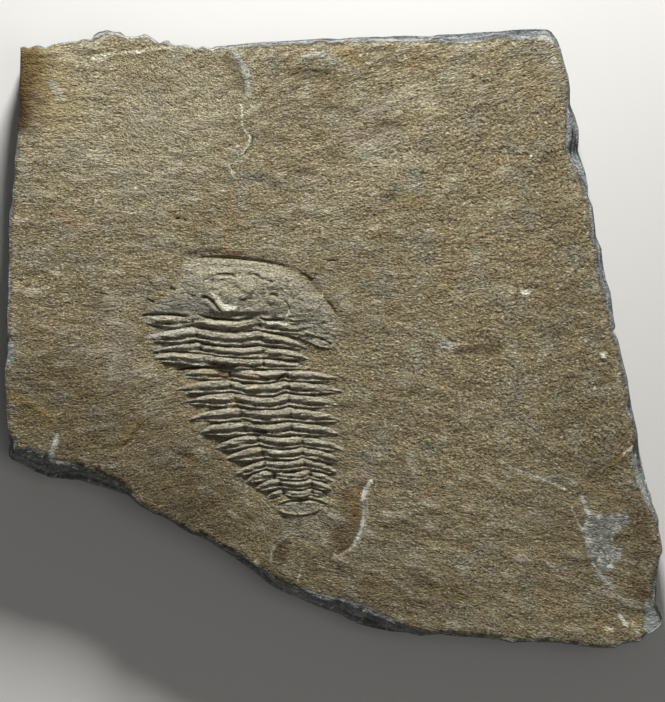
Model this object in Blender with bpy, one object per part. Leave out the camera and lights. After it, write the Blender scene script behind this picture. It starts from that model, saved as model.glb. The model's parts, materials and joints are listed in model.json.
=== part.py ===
"""Slab of dark shale with one complete olenid trilobite lying on its bedding face.

The slab and the fossil are one stone, so the model is one closed solid. It lies
on its flat underside, with the bedding face up and the head towards +Y.

Shapes on the bedding face are given as tracing places: x to the right and y
towards the tail, from a tracing that is TRACE_WIDTH units wide over the slab.
The slab's real length turns the units into millimetres. Heights and depths are
plain millimetres.
"""

import math

import bpy
from mathutils import Vector, geometry, noise

# Real sizes in millimetres
SLAB_LENGTH = 99.2
SLAB_THICKNESS = 11.0
BED_WAVE = 0.35
BED_GRAIN = 0.12
MOUND_RISE = 0.7
RIM_DROP = 0.15
RIB_RELIEF = 0.48
AXIS_ARCH = 0.75
AXIAL_FURROW = 0.22
PLEURA_ARCH = 0.3
TIP_RISE = 0.08
BRIM_RISE = 0.42
BRIM_GROOVE = 0.25
HEAD_RISE = 0.35
GLABELLA_RISE = 0.45
GLABELLA_FURROW = 0.2
EYE_RISE = 0.22
NECK_DEPTH = 0.5
PYGIDIUM_RISE = 0.45
LEDGE_STEP = 0.45
FOOT_RECESS = 0.7
LAMINA_DRIFT = 0.5

# Tracing units
TRACE_WIDTH = 661.0
TRACE_CENTRE = (333.5, 338.5)
MAX_EDGE = 24.0
GRID_STEP = 23.0
GRID_JITTER = 6.0
CLEARANCE = 9.0
HEAD_CLEARANCE = 5.0
WAVE_SIZE = 170.0
GRAIN_SIZE = 19.0
MOUND_CENTRE = (317, 62)
MOUND_SIZE = (26, 16)
LAMINA_WANDER = 3.5
FOOT_TUCK = 9.0
FOOT_SPREAD = 20.0
FLAT_EDGE_STRIDE = 3

MM = 0.001
UNIT = SLAB_LENGTH / TRACE_WIDTH

# Silhouette from above, clockwise from the top left corner: x, y and how far
# the bedding face stays back from it, where the broken side slopes outwards
OUTLINE = [
    (19, 46, 3), (36, 44, 3), (52, 43, 2), (82, 38, 2), (92, 37, 2), (97, 31, 5),
    (106, 28.5, 5), (119, 30, 5), (125, 35, 4), (137, 35, 2), (145, 32.5, 2),
    (159, 42, 2), (168, 39, 2), (175, 44, 2), (197, 46, 2), (215, 45, 4),
    (246, 42, 4), (282, 40, 4), (320, 37, 4), (350, 36, 4), (385, 35, 5),
    (405, 34, 7), (430, 35, 5), (447, 33, 8), (465, 32.5, 12), (480, 30.5, 11),
    (500, 29.5, 6), (527, 27.5, 10), (548, 27.5, 10), (558, 38, 6), (565, 60, 3),
    (569, 74, 2), (571, 95, 3), (576, 114, 8), (580, 135, 12), (583, 160, 11),
    (589, 186, 5), (594, 206, 4), (597, 236, 5), (604, 256, 7), (612, 292, 7),
    (617, 328, 5), (614, 331, 3), (622, 352, 3), (631, 394, 3), (633, 406, 6),
    (639, 433, 4), (643, 462, 9), (650, 490, 9), (658, 514, 4), (660, 530, 2),
    (663, 548, 2), (659, 570, 2), (657, 604, 8), (664, 619, 17), (655, 632, 10),
    (641, 643, 6), (615, 649, 2), (600, 649.5, 2), (560, 644, 2), (513, 644, 3),
    (480, 639, 3), (440, 635, 3), (408, 634, 4), (392, 633, 10), (376, 630, 17),
    (360, 626, 19), (347, 620, 18), (330, 612, 14), (313, 606, 12), (298, 599, 10),
    (282, 593, 9), (268, 585, 9), (250, 570, 8), (233, 558, 6), (206, 541, 5),
    (190, 535, 4), (163, 518, 3), (140, 507, 4), (128, 496, 6), (110, 491, 12),
    (94, 486, 14), (78, 481, 15), (60, 479.5, 18), (48, 478, 20), (34, 472, 21),
    (22, 465, 20), (10, 457, 14), (7, 447, 7), (6, 433, 3), (4, 395, 2),
    (3, 370, 2), (5, 355, 3), (5, 323, 2), (7, 290, 2), (7, 235, 2), (11, 195, 2),
    (13, 160, 2), (18, 115, 2), (18, 85, 3),
]

# How the broken side steps down, lamina by lamina: share of the rim's setback
# that is left, extra tuck inwards, height as a share of the thickness, lamina
SIDE_RINGS = [
    (0.74, 0.0, 0.905, 0),
    (0.52, 0.0, 0.885, 1),
    (0.38, 0.0, 0.745, 1),
    (0.18, 0.0, 0.725, 2),
    (0.06, 0.0, 0.56, 2),
    (0.0, 0.0, 0.49, 2),
    (0.0, 1.0, 0.38, 3),
    (0.0, 4.0, 0.355, 4),
    (0.0, 4.5, 0.215, 4),
    (0.0, 7.0, 0.195, 5),
    (0.0, FOOT_TUCK, FOOT_RECESS / SLAB_THICKNESS, 5),
]

# Thorax: one row for each segment's main ridge, as left tip, left axial furrow,
# right axial furrow, right tip. The crushed body is broken across, and the rear
# part has slipped to the right, so it is two runs.
FRONT_RUN = [
    ((138, 321), (193, 319.5), (259, 322), (318, 336)),
    ((140, 339), (198, 332), (261, 336), (313, 351)),
    ((148, 353), (200, 346), (264, 350), (315, 361)),
    ((158, 361), (206, 357), (264, 361.5), (317, 369)),
]
REAR_RUN = [
    ((176, 375), (230, 371), (288, 372), (346, 379)),
    ((171, 389), (231, 384), (289, 384), (346, 391)),
    ((180, 401), (235, 396), (289, 396.5), (344, 405)),
    ((186, 419), (241, 410), (291, 410), (347, 419)),
    ((194, 434), (247, 425), (293, 424), (346, 435)),
    ((212, 448), (258, 437.5), (303, 438), (350, 451)),
    ((221, 460), (261, 450), (303, 449.5), (348, 463)),
    ((231, 475), (264, 461.5), (305, 460.5), (340, 473)),
    ((243, 484), (273, 472.5), (310, 471.5), (338, 483)),
    ((254, 492), (279, 482), (312, 481), (334, 490)),
    ((264, 499), (283, 491), (313, 490), (329, 497)),
]

# Across one segment from front to rear, as a share of the way to the next
# ridge: the main ridge, the pleural furrow, the narrow rear ridge, the joint
SEGMENT_PROFILE = [(0.0, 1.0), (0.34, 0.38), (0.52, 0.58), (0.74, 0.0)]
LEAD_SHARE = -0.26
HIDDEN_AT_BREAK = 2
HIDDEN_AT_TAIL = 1
AXIS_STATIONS = (0.15, 0.5, 0.85)
RING_BOW = 3.0
PLEURA_STATIONS = (0.18, 0.45, 0.75)
BACK_SWEEP = 1.5

# Head shield: outer margin from the left cheek round the front to the right
# cheek's rear corner, then the glabella's outline and the eyes
HEAD_MARGIN = [
    (149, 308), (160, 299), (170, 290), (175, 281), (179, 271), (182, 264),
    (190, 260.5), (202, 259.5), (216, 259.5), (230, 260), (245, 262), (260, 264),
    (275, 268), (288, 272), (297, 277), (306, 281.5), (314, 289), (322, 298),
    (329, 306), (335, 318), (338, 331), (338, 344),
]
HEAD_CENTRE = (240, 312)
BRIM_LOOPS = ((1.06, -BRIM_GROOVE), (1.0, 0.0), (0.93, BRIM_RISE))
HEAD_LOOPS = (0.78, 0.62)
DOME_CENTRE = (236, 290)
DOME_SIZE = (105, 34)
NECK_CENTRE = (238, 316)
NECK_SIZE = (34, 6)
GLABELLA_CENTRE = (233, 296)
GLABELLA_SIZE = (24, 19)
GLABELLA_LOOPS = (
    (1.12, -GLABELLA_FURROW), (0.88, 0.7 * GLABELLA_RISE), (0.45, GLABELLA_RISE),
)
EYES = ((199, 301), (274, 298))
EYE_SIZE = (12, 7)

PYGIDIUM_CENTRE = (299.5, 508.5)
PYGIDIUM_SIZE = (23, 8)
PYGIDIUM_LOOPS = ((1.15, 0.0), (0.88, PYGIDIUM_RISE), (0.45, 0.4 * PYGIDIUM_RISE))
OVAL_POINTS = 14

# Broken ledges on the bedding face: the upper edge as it runs, and the side
# that the toe lies on, +1 to its right and -1 to its left
LEDGES = [
    ([(372, 479), (365, 493), (365, 512), (361, 531), (352, 548), (333, 557)], 1),
    ([(629, 446), (617, 458), (600, 469), (575, 474)], -1),
    ([(232, 50), (246, 66), (249, 85), (249, 98)], 1),
    ([(22, 402), (34, 409), (48, 418)], 1),
]
LEDGE_WIDTH = 4.0
LEDGE_FADE = 16.0

SHALE_COLOUR = (0.2, 0.17, 0.115, 1.0)
SHALE_ROUGHNESS = 0.85
SHARP_DEGREES = 40


def wander(x, y, size, lane):
    """Smooth value near -1 to 1 that changes over about size tracing units."""
    return noise.noise(Vector((x / size, y / size, lane)))


def hill(x, y, centre, size):
    """Smooth bump that is 1 at its centre and nearly 0 two sizes away."""
    across = (x - centre[0]) / size[0]
    along = (y - centre[1]) / size[1]
    return math.exp(-across ** 2 - along ** 2)


def bed_height(x, y):
    """Height of the plain bedding face in millimetres."""
    waves = BED_WAVE * wander(x, y, WAVE_SIZE, 3.5)
    grain = BED_GRAIN * wander(x, y, GRAIN_SIZE, 8.2)
    mound = MOUND_RISE * hill(x, y, MOUND_CENTRE, MOUND_SIZE)
    return SLAB_THICKNESS - BED_WAVE + waves + grain + mound


def lerp(a, b, share):
    return tuple(p + (q - p) * share for p, q in zip(a, b))


class Tracing:
    """Points of the bedding face with heights, and the lines between them."""

    def __init__(self):
        self.points = []
        self.lines = []

    def add(self, x, y, z):
        self.points.append((x, y, z))
        return len(self.points) - 1

    def chain(self, places, closed=False):
        ids = [self.add(*place) for place in places]
        self.lines += list(zip(ids, ids[1:]))
        if closed:
            self.lines.append((ids[-1], ids[0]))

    def crowded(self, x, y, clearance):
        return any(math.hypot(x - p[0], y - p[1]) < clearance for p in self.points)


def divided_outline():
    """Silhouette with its long edges divided."""
    points = []
    for index, corner in enumerate(OUTLINE):
        following = OUTLINE[(index + 1) % len(OUTLINE)]
        length = math.dist(corner[:2], following[:2])
        pieces = max(1, math.ceil(length / MAX_EDGE))
        points += [lerp(corner, following, k / pieces) for k in range(pieces)]
    return points


def inward_normals(points):
    normals = []
    for index, point in enumerate(points):
        before = points[index - 1]
        after = points[(index + 1) % len(points)]
        along = Vector((after[0] - before[0], after[1] - before[1])).normalized()
        normals.append(Vector((-along.y, along.x)))
    return normals


def side_ring(points, normals, keep, tuck, height, lamina):
    """One level of the broken side, as places with heights."""
    ring = []
    for (x, y, setback), normal in zip(points, normals):
        rough = wander(x, y, 26, 31.0 + 7 * lamina)
        depth = setback * keep * (1 + 0.5 * rough)
        if tuck:
            depth += tuck + LAMINA_WANDER * (0.5 + rough)
        level = SLAB_THICKNESS * height
        if level > FOOT_RECESS:
            level += LAMINA_DRIFT * wander(x, y, 80, 50.0)
        ring.append((x + normal.x * depth, y + normal.y * depth, level))
    return ring


def pleura(inner, outer, share):
    """Place along a rib, which leaves the axis straight and bends back."""
    x = inner[0] + (outer[0] - inner[0]) * share
    y = inner[1] + (outer[1] - inner[1]) * share ** BACK_SWEEP
    return x, y


def pleura_stations(furrow, tip, level):
    """Places and rises along one rib, from the axis outwards."""
    stations = []
    for share in PLEURA_STATIONS:
        relief = RIB_RELIEF * (1.05 - 0.6 * share ** 3)
        rise = PLEURA_ARCH * (1 - share) + relief * level
        stations.append((pleura(furrow, tip, share), rise))
    return stations


def ring_stations(left, right, level):
    """Places and rises over the axis, from one axial furrow to the other."""
    furrow_rise = 0.5 * RIB_RELIEF * level - AXIAL_FURROW
    stations = [(left, furrow_rise)]
    for share in AXIS_STATIONS:
        bulge = math.sin(math.pi * share)
        x, y = lerp(left, right, share)
        rise = AXIS_ARCH * bulge + RIB_RELIEF * level
        stations.append(((x, y + RING_BOW * bulge), rise))
    stations.append((right, furrow_rise))
    return stations


def thorax_row(tracing, row, level, with_tips):
    """Points of one line across the thorax, from the left tip to the right."""
    left_tip, left, right, right_tip = row
    stations = pleura_stations(left, left_tip, level)[::-1]
    stations += ring_stations(left, right, level)
    stations += pleura_stations(right, right_tip, level)
    if with_tips:
        stations = [(left_tip, TIP_RISE)] + stations + [(right_tip, TIP_RISE)]
    tracing.chain([(x, y, bed_height(x, y) + rise) for (x, y), rise in stations])


def blended_row(row, following, share):
    return [lerp(a, b, share) for a, b in zip(row, following)]


def thorax(tracing, rows, hidden):
    """All ridges and furrows of one run, less the hidden last ones."""
    last = [(2 * b[0] - a[0], 2 * b[1] - a[1]) for a, b in zip(rows[-2], rows[-1])]
    padded = rows + [last]
    lines = [(blended_row(rows[0], rows[1], LEAD_SHARE), 0.0, False)]
    for row, following in zip(padded, padded[1:]):
        for share, level in SEGMENT_PROFILE:
            lines.append((blended_row(row, following, share), level, share == 0))
    for line, level, with_tips in lines[:len(lines) - hidden]:
        thorax_row(tracing, line, level, with_tips)


def head_height(x, y):
    """Height of the head shield inside its brim, sunk behind the glabella."""
    across = (x - DOME_CENTRE[0]) / DOME_SIZE[0]
    along = (y - DOME_CENTRE[1]) / DOME_SIZE[1]
    rise = BRIM_RISE + HEAD_RISE * max(0.0, 1 - across ** 2 - along ** 2)
    rise += EYE_RISE * sum(hill(x, y, eye, EYE_SIZE) for eye in EYES)
    rise -= NECK_DEPTH * hill(x, y, NECK_CENTRE, NECK_SIZE)
    return bed_height(x, y) + rise


def head_loop(scale):
    cx, cy = HEAD_CENTRE
    return [(cx + (x - cx) * scale, cy + (y - cy) * scale) for x, y in HEAD_MARGIN]


def oval(centre, size, scale):
    points = []
    for index in range(OVAL_POINTS):
        angle = 2 * math.pi * index / OVAL_POINTS
        x = centre[0] + size[0] * scale * math.cos(angle)
        y = centre[1] + size[1] * scale * math.sin(angle)
        points.append((x, y))
    return points


def head(tracing):
    """Brim, glabella, eyes and cheeks."""
    for scale, rise in BRIM_LOOPS:
        loop = head_loop(scale)
        tracing.chain([(x, y, bed_height(x, y) + rise) for x, y in loop])
    for scale, rise in GLABELLA_LOOPS:
        ring = oval(GLABELLA_CENTRE, GLABELLA_SIZE, scale)
        tracing.chain([(x, y, head_height(x, y) + rise) for x, y in ring], closed=True)
    top = head_height(*GLABELLA_CENTRE) + GLABELLA_RISE
    tracing.add(*GLABELLA_CENTRE, top)
    for scale in HEAD_LOOPS:
        for x, y in head_loop(scale):
            if not tracing.crowded(x, y, HEAD_CLEARANCE):
                tracing.add(x, y, head_height(x, y))


def pygidium(tracing):
    """Small tail shield, an oval cushion with a sunk middle."""
    for scale, rise in PYGIDIUM_LOOPS:
        ring = oval(PYGIDIUM_CENTRE, PYGIDIUM_SIZE, scale)
        tracing.chain([(x, y, bed_height(x, y) + rise) for x, y in ring], closed=True)


def ledges(tracing):
    """Edges where a lamina of the shale has broken away."""
    for path, side in LEDGES:
        normals = inward_normals(path)
        normals[0], normals[-1] = normals[1], normals[-2]
        rises = {LEDGE_FADE: 0.0, 0.0: 0.5, -LEDGE_WIDTH: -0.5, -LEDGE_FADE: 0.0}
        for offset, rise in rises.items():
            line = []
            for index, ((x, y), normal) in enumerate(zip(path, normals)):
                fade = math.sin(math.pi * (index + 0.5) / len(path))
                px = x + normal.x * offset * side
                py = y + normal.y * offset * side
                line.append((px, py, bed_height(px, py) + LEDGE_STEP * rise * fade))
            if rise:
                tracing.chain(line)
                continue
            for place in line:
                if not tracing.crowded(place[0], place[1], CLEARANCE):
                    tracing.add(*place)


def inside(x, y, ring):
    """Whether a place lies inside a closed ring of places."""
    hit = False
    for index, (x1, y1, _) in enumerate(ring):
        x2, y2, _ = ring[index - 1]
        if (y1 > y) != (y2 > y) and x < (x2 - x1) * (y - y1) / (y2 - y1) + x1:
            hit = not hit
    return hit


def open_bed(tracing, rim):
    """Loose points over the rest of the bedding face, on a wandering grid."""
    row_step = GRID_STEP * math.sqrt(3) / 2
    lowest_x = min(x for x, _, _ in rim)
    lowest_y = min(y for _, y, _ in rim)
    rows = math.ceil((max(y for _, y, _ in rim) - lowest_y) / row_step)
    columns = math.ceil((max(x for x, _, _ in rim) - lowest_x) / GRID_STEP)
    for row in range(rows):
        for column in range(columns):
            x = lowest_x + (column + 0.5 * (row % 2)) * GRID_STEP
            y = lowest_y + row * row_step
            x += GRID_JITTER * wander(x, y, 13, 21.0)
            y += GRID_JITTER * wander(x, y, 13, 27.0)
            if inside(x, y, rim) and not tracing.crowded(x, y, CLEARANCE):
                tracing.add(x, y, bed_height(x, y))


def on_slab(x, y, z):
    """Tracing place and height in millimetres as a place in metres."""
    return ((x - TRACE_CENTRE[0]) * UNIT * MM, (TRACE_CENTRE[1] - y) * UNIT * MM, z * MM)


def triangulated(places, lines, boundary_size):
    """Triangles over flat places, inside the closed boundary that comes first."""
    boundary = places[:boundary_size]
    closed = [(index, (index + 1) % boundary_size) for index in range(boundary_size)]
    flat = [Vector((x, -y)) for x, y, _ in places]
    result = geometry.delaunay_2d_cdt(flat, closed + lines, [], 0, 1e-6, True)
    points, _, triangles, origins = result[:4]
    if len(points) != len(places):
        raise ValueError("two lines of the tracing cross or two points coincide")
    kept = []
    for triangle in triangles:
        ids = [origins[index][0] for index in triangle]
        x = sum(places[index][0] for index in ids) / 3
        y = sum(places[index][1] for index in ids) / 3
        if inside(x, y, boundary):
            kept.append(ids)
    return kept


def bedding_face(outline, normals):
    """The upper face, with its rim first."""
    face = Tracing()
    for (x, y, setback), normal in zip(outline, normals):
        px = x + normal.x * setback
        py = y + normal.y * setback
        face.add(px, py, bed_height(px, py) - RIM_DROP)
    rim = list(face.points)
    thorax(face, FRONT_RUN, HIDDEN_AT_BREAK)
    thorax(face, REAR_RUN, HIDDEN_AT_TAIL)
    head(face)
    pygidium(face)
    ledges(face)
    open_bed(face, rim)
    return face


def underside(foot_ring, outline, normals):
    """The foot's edge, and inside it the flat face that the slab lies on."""
    face = Tracing()
    for place in foot_ring:
        face.add(*place)
    for (x, y, _), normal in list(zip(outline, normals))[::FLAT_EDGE_STRIDE]:
        spread = FOOT_TUCK + FOOT_SPREAD * (1 + 0.6 * wander(x, y, 60, 70.0))
        face.add(x + normal.x * spread, y + normal.y * spread, 0.0)
    return face


def slab_mesh():
    """Bedding face, broken sides and underside as one closed mesh."""
    outline = divided_outline()
    normals = inward_normals(outline)
    size = len(outline)
    rings = [side_ring(outline, normals, *ring) for ring in SIDE_RINGS]
    top = bedding_face(outline, normals)
    bottom = underside(rings[-1], outline, normals)

    places = list(top.points)
    faces = triangulated(top.points, top.lines, size)
    upper = 0
    for ring in rings:
        lower = len(places)
        places += ring
        for index in range(size):
            after = (index + 1) % size
            faces.append((upper + index, upper + after, lower + after, lower + index))
        upper = lower
    places += bottom.points[size:]
    for face in triangulated(bottom.points, bottom.lines, size):
        faces.append([upper + index for index in reversed(face)])

    mesh = bpy.data.meshes.new("fossil_slab")
    mesh.from_pydata([on_slab(*place) for place in places], [], faces)
    mesh.update()
    mesh.shade_smooth()
    mesh.set_sharp_from_angle(angle=math.radians(SHARP_DEGREES))
    return mesh


def shale():
    material = bpy.data.materials.new("dark olive shale")
    material.use_nodes = True
    surface = material.node_tree.nodes["Principled BSDF"]
    surface.inputs["Base Color"].default_value = SHALE_COLOUR
    surface.inputs["Roughness"].default_value = SHALE_ROUGHNESS
    surface.inputs["Metallic"].default_value = 0.0
    return material


def main():
    for old in list(bpy.data.objects):
        bpy.data.objects.remove(old, do_unlink=True)
    mesh = slab_mesh()
    mesh.materials.append(shale())
    slab = bpy.data.objects.new("fossil_slab", mesh)
    bpy.context.scene.collection.objects.link(slab)
    print("fossil_slab:", len(mesh.vertices), "points,", len(mesh.polygons), "faces")


main()
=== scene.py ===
# %% [markdown]
# # A trilobite on a slab of shale
# The real object is one flat, broken piece of dark shale. A crushed olenid trilobite lies on its
# upper face in low relief, and it is mineralised into the same stone, so stone and fossil are one
# closed mesh here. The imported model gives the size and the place. This script gives the looks: the
# bed, the fossil, the broken sides, the stains, the stone's colour and the light.
# Four ways could make such a face: sculpting, displacement by a texture, a height worked out for
# every point, or ribs swept along curves. The last two are used together, because the ribs repeat
# and follow paths, and everything else is easier as a height that depends on the place.

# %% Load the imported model
import json
import math
import random
import bpy
import numpy as np
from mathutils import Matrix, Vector, geometry, noise
from mathutils.bvhtree import BVHTree

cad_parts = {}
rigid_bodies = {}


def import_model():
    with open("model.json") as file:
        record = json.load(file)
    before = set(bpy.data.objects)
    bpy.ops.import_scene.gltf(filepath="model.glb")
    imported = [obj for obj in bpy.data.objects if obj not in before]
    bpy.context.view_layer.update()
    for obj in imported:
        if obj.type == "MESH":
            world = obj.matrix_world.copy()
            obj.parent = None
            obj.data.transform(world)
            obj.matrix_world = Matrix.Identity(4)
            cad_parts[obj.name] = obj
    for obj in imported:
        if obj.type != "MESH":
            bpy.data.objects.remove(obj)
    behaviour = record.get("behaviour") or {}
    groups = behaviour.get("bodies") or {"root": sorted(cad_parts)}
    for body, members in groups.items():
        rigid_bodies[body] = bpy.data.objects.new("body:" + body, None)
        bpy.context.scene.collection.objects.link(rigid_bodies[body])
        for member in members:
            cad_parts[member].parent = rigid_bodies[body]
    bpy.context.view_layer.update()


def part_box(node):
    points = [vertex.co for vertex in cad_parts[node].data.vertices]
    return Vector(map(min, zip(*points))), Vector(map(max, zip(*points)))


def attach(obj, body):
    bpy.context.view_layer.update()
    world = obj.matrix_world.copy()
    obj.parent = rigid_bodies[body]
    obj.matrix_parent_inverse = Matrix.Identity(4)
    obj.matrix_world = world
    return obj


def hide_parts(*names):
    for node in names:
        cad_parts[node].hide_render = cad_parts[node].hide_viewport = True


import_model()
slab_low, slab_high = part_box("fossil_slab")
print("packed slab, mm:", [round(1000 * size, 2) for size in slab_high - slab_low])

# %% [markdown]
# ## One tracing for every place
# Places on the face are written as x to the right and y towards the tail, on a tracing that is 661
# units wide over the slab. The slab's real length turns a unit into 0.15 mm. Heights and depths are
# plain millimetres, so a reader can picture them.

# %% Tracing units
MM = 0.001
TRACE_WIDTH = 661.0
TRACE_CENTRE = (333.5, 338.5)
UNIT = (slab_high.x - slab_low.x) / TRACE_WIDTH
THICKNESS = 11.0


def on_slab(x, y, z):
    """Tracing place and height in millimetres as places in metres."""
    return np.stack([(x - TRACE_CENTRE[0]) * UNIT, (TRACE_CENTRE[1] - y) * UNIT, z * MM], axis=-1)


print("one unit of the tracing, mm:", round(UNIT / MM, 4))

# %% [markdown]
# ## The camera
# The slab lies flat and is looked at from straight above, from far away, so its sides hardly show.
# A long lens far off gives that view. The distance comes from the frame: 702 units of the tracing
# have to fill the frame's height at the level of the bed.

# %% Camera straight above
FRAME_SIZE = (665, 702)
LENS = 400.0
SENSOR = 36.0

camera_data = bpy.data.cameras.new("camera")
camera_data.lens = LENS
camera_data.sensor_width = SENSOR
camera = bpy.data.objects.new("camera", camera_data)
bpy.context.scene.collection.objects.link(camera)
middle = on_slab(FRAME_SIZE[0] / 2, FRAME_SIZE[1] / 2, THICKNESS)
distance = FRAME_SIZE[1] * UNIT * LENS / SENSOR
camera.location = (middle[0], middle[1], middle[2] + distance)
bpy.context.scene.camera = camera
bpy.context.scene.view_settings.view_transform = "Standard"
print("camera height, m:", round(camera.location.z, 3))

# %% [markdown]
# ## The bedding face
# Shale splits along its beds, so the face is nearly flat, with long gentle waves, low hummocks and
# a small mound near the head end. Smooth noise gives such a surface: one layer for each size of
# wave. Ripples run across it and tilt slowly from the head end to the tail. The finest grain is
# smaller than the mesh can hold and is left to the material.

# %% Smooth noise and the bare bed
BED_WAVE = 0.35
BED_GRAIN = 0.09
MOUND = ((317, 62), (26, 16), 0.3)
HUMMOCK = 0.17
RIPPLE = 0.1
RIPPLES_LEVEL_AT = (130, 270)


def wander(x, y, size, lane):
    """Smooth value near -1 to 1 that changes over about size units. Each lane has its own waves."""
    pairs = zip(np.ravel(x) / size, np.ravel(y) / size)
    return np.array([noise.noise((a, b, lane)) for a, b in pairs]).reshape(np.shape(x))


def hill(x, y, centre, size):
    """Smooth bump that is 1 at its centre and nearly 0 two sizes away."""
    return np.exp(-((x - centre[0]) / size[0]) ** 2 - ((y - centre[1]) / size[1]) ** 2)


def bed_height(x, y):
    """Height of the bare bedding face in millimetres."""
    waves = BED_WAVE * wander(x, y, 170, 3.5) + BED_GRAIN * wander(x, y, 19, 8.2)
    centre, size, rise = MOUND
    return THICKNESS - BED_WAVE + waves + rise * hill(x, y, centre, size)


def lay_of_ripples(x, y):
    """Slope of the ripples: they rise to the right near the head end and fall near the tail."""
    level_x, level_y = RIPPLES_LEVEL_AT
    return np.clip((x - level_x) / 150, 0, 1) * np.clip((y - level_y) / 700, -0.3, 0.3)


def rough_bed(x, y):
    """The bare bed with its hummocks and ripples."""
    across = y - x * lay_of_ripples(x, y)
    hummocks = HUMMOCK * wander(x, y * 1.4, 46, 14.0)
    ripples = RIPPLE * (wander(x / 3, across, 7, 17.0) + wander(x / 2, across, 15, 19.0))
    return bed_height(x, y) + hummocks + ripples


print("bed height in the middle, mm:", bed_height(np.array(333.0), np.array(338.0)).round(2))

# %% [markdown]
# ## Lines drawn on stone
# Furrows, cracks, low ridges and broken edges all follow a line on the tracing. One helper finds,
# for each point, how far it lies from a line, how far along and on which side. A bell across the
# line then makes a furrow or a ridge, and a slope that dies out on one side makes a ledge.

# %% Distance to a line
REACH = 4.0


def smooth_path(path, pieces=6):
    """A line through the same places with its corners rounded."""
    points = [np.array(p, float) for p in path]
    padded = [2 * points[0] - points[1]] + points + [2 * points[-1] - points[-2]]
    result = []
    for before, start, end, after in zip(padded, padded[1:], padded[2:], padded[3:]):
        for t in np.arange(pieces) / pieces:
            bend = (2 * before - 5 * start + 4 * end - after) * t * t
            twist = (3 * start - before - 3 * end + after) * t ** 3
            result.append(0.5 * (2 * start + (end - before) * t + bend + twist))
    return np.array(result + [points[-1]])


def along_path(path, x, y):
    """Distance to a path, how far along it from 0 to 1, and the side, +1 to its right."""
    steps = np.diff(path, axis=0)
    lengths = np.hypot(steps[:, 0], steps[:, 1])
    starts = np.concatenate([[0.0], np.cumsum(lengths)])
    best = np.full(np.shape(x), np.inf)
    share = np.zeros(np.shape(x))
    side = np.ones(np.shape(x))
    for (px, py), (sx, sy), length, start in zip(path, steps, lengths, starts):
        t = np.clip(((x - px) * sx + (y - py) * sy) / length ** 2, 0, 1)
        dx = x - px - t * sx
        dy = y - py - t * sy
        far = np.hypot(dx, dy)
        nearer = far < best
        best = np.where(nearer, far, best)
        share = np.where(nearer, (start + t * length) / starts[-1], share)
        side = np.where(nearer, np.sign(sx * dy - sy * dx), side)
    return best, share, side


def near(path, x, y, reach):
    """Which points lie in a path's box, widened by reach."""
    low = np.min(path, axis=0) - reach
    high = np.max(path, axis=0) + reach
    return (x > low[0]) & (x < high[0]) & (y > low[1]) & (y < high[1])


def fade_ends(share, ends=0.22):
    """1 along the middle of a path, going smoothly to 0 at both of its ends."""
    t = np.clip(np.minimum(share, 1 - share) / ends, 0, 1)
    return t * t * (3 - 2 * t)


def draw_line(height, dirt_and_painted_shade, x, y, path, width, rise, soil_and_painted_shade):
    """Adds a ridge (rise above 0) or a furrow (below 0), with soil and painted shade in it."""
    path = smooth_path(path)
    chosen = near(path, x, y, REACH * width)
    far, share, _ = along_path(path, x[chosen], y[chosen])
    bell = np.exp(-(far / width) ** 2) * fade_ends(share)
    height[chosen] += rise * bell
    # soil and painted shade along the line
    dirt_and_painted_shade[chosen] = np.maximum(dirt_and_painted_shade[chosen], soil_and_painted_shade * bell)


sample = along_path(np.array([(0, 0), (10, 0)]), np.array([5.0]), np.array([3.0]))
print("distance, share and side of a test point:", [float(part[0]) for part in sample])

# %% [markdown]
# ## The head shield
# The head is a broad, low arch. It lies in a shallow trough, so a dark furrow frames its front edge
# and the rim behind that furrow rises towards the light. The glabella, the raised lobe in the
# middle, is crushed flat and outlined by short furrows. Heights are added up: trough, rim, dome,
# glabella and eyes, and then the furrows are drawn on top.

# %% Shape of the head shield
HEAD_MARGIN = [
    (137, 319), (143, 311), (152, 304), (162, 297), (170, 290), (175, 281), (179, 271),
    (182, 262), (190, 259.5), (202, 258.5), (216, 258.5), (230, 259), (245, 260.5),
    (260, 262.5), (276, 266), (290, 270), (300, 275), (308, 281), (319, 291), (328, 302),
    (335, 312), (339, 324), (341, 338), (338, 350),
]
HEAD_END = 350
HEAD_REAR = [(320, 347), (300, 338), (262, 328), (240, 332), (215, 331), (196, 325), (160, 325)]
RIM_RISE = 0.2
DOME_RISE = 0.5
DOME_CENTRE = (238, 297)
DOME_REACH = (112, 36)
TROUGH = 0.15
CRUSH = 0.14


def inside_ring(x, y, ring):
    """Which points lie inside a closed ring of places."""
    hit = np.zeros(np.shape(x), bool)
    for (x1, y1), (x2, y2) in zip(ring, np.roll(ring, 1, axis=0)):
        if y1 == y2:
            continue
        crossing = ((y1 > y) != (y2 > y)) & (x < (x2 - x1) * (y - y1) / (y2 - y1) + x1)
        hit ^= crossing
    return hit


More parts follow.
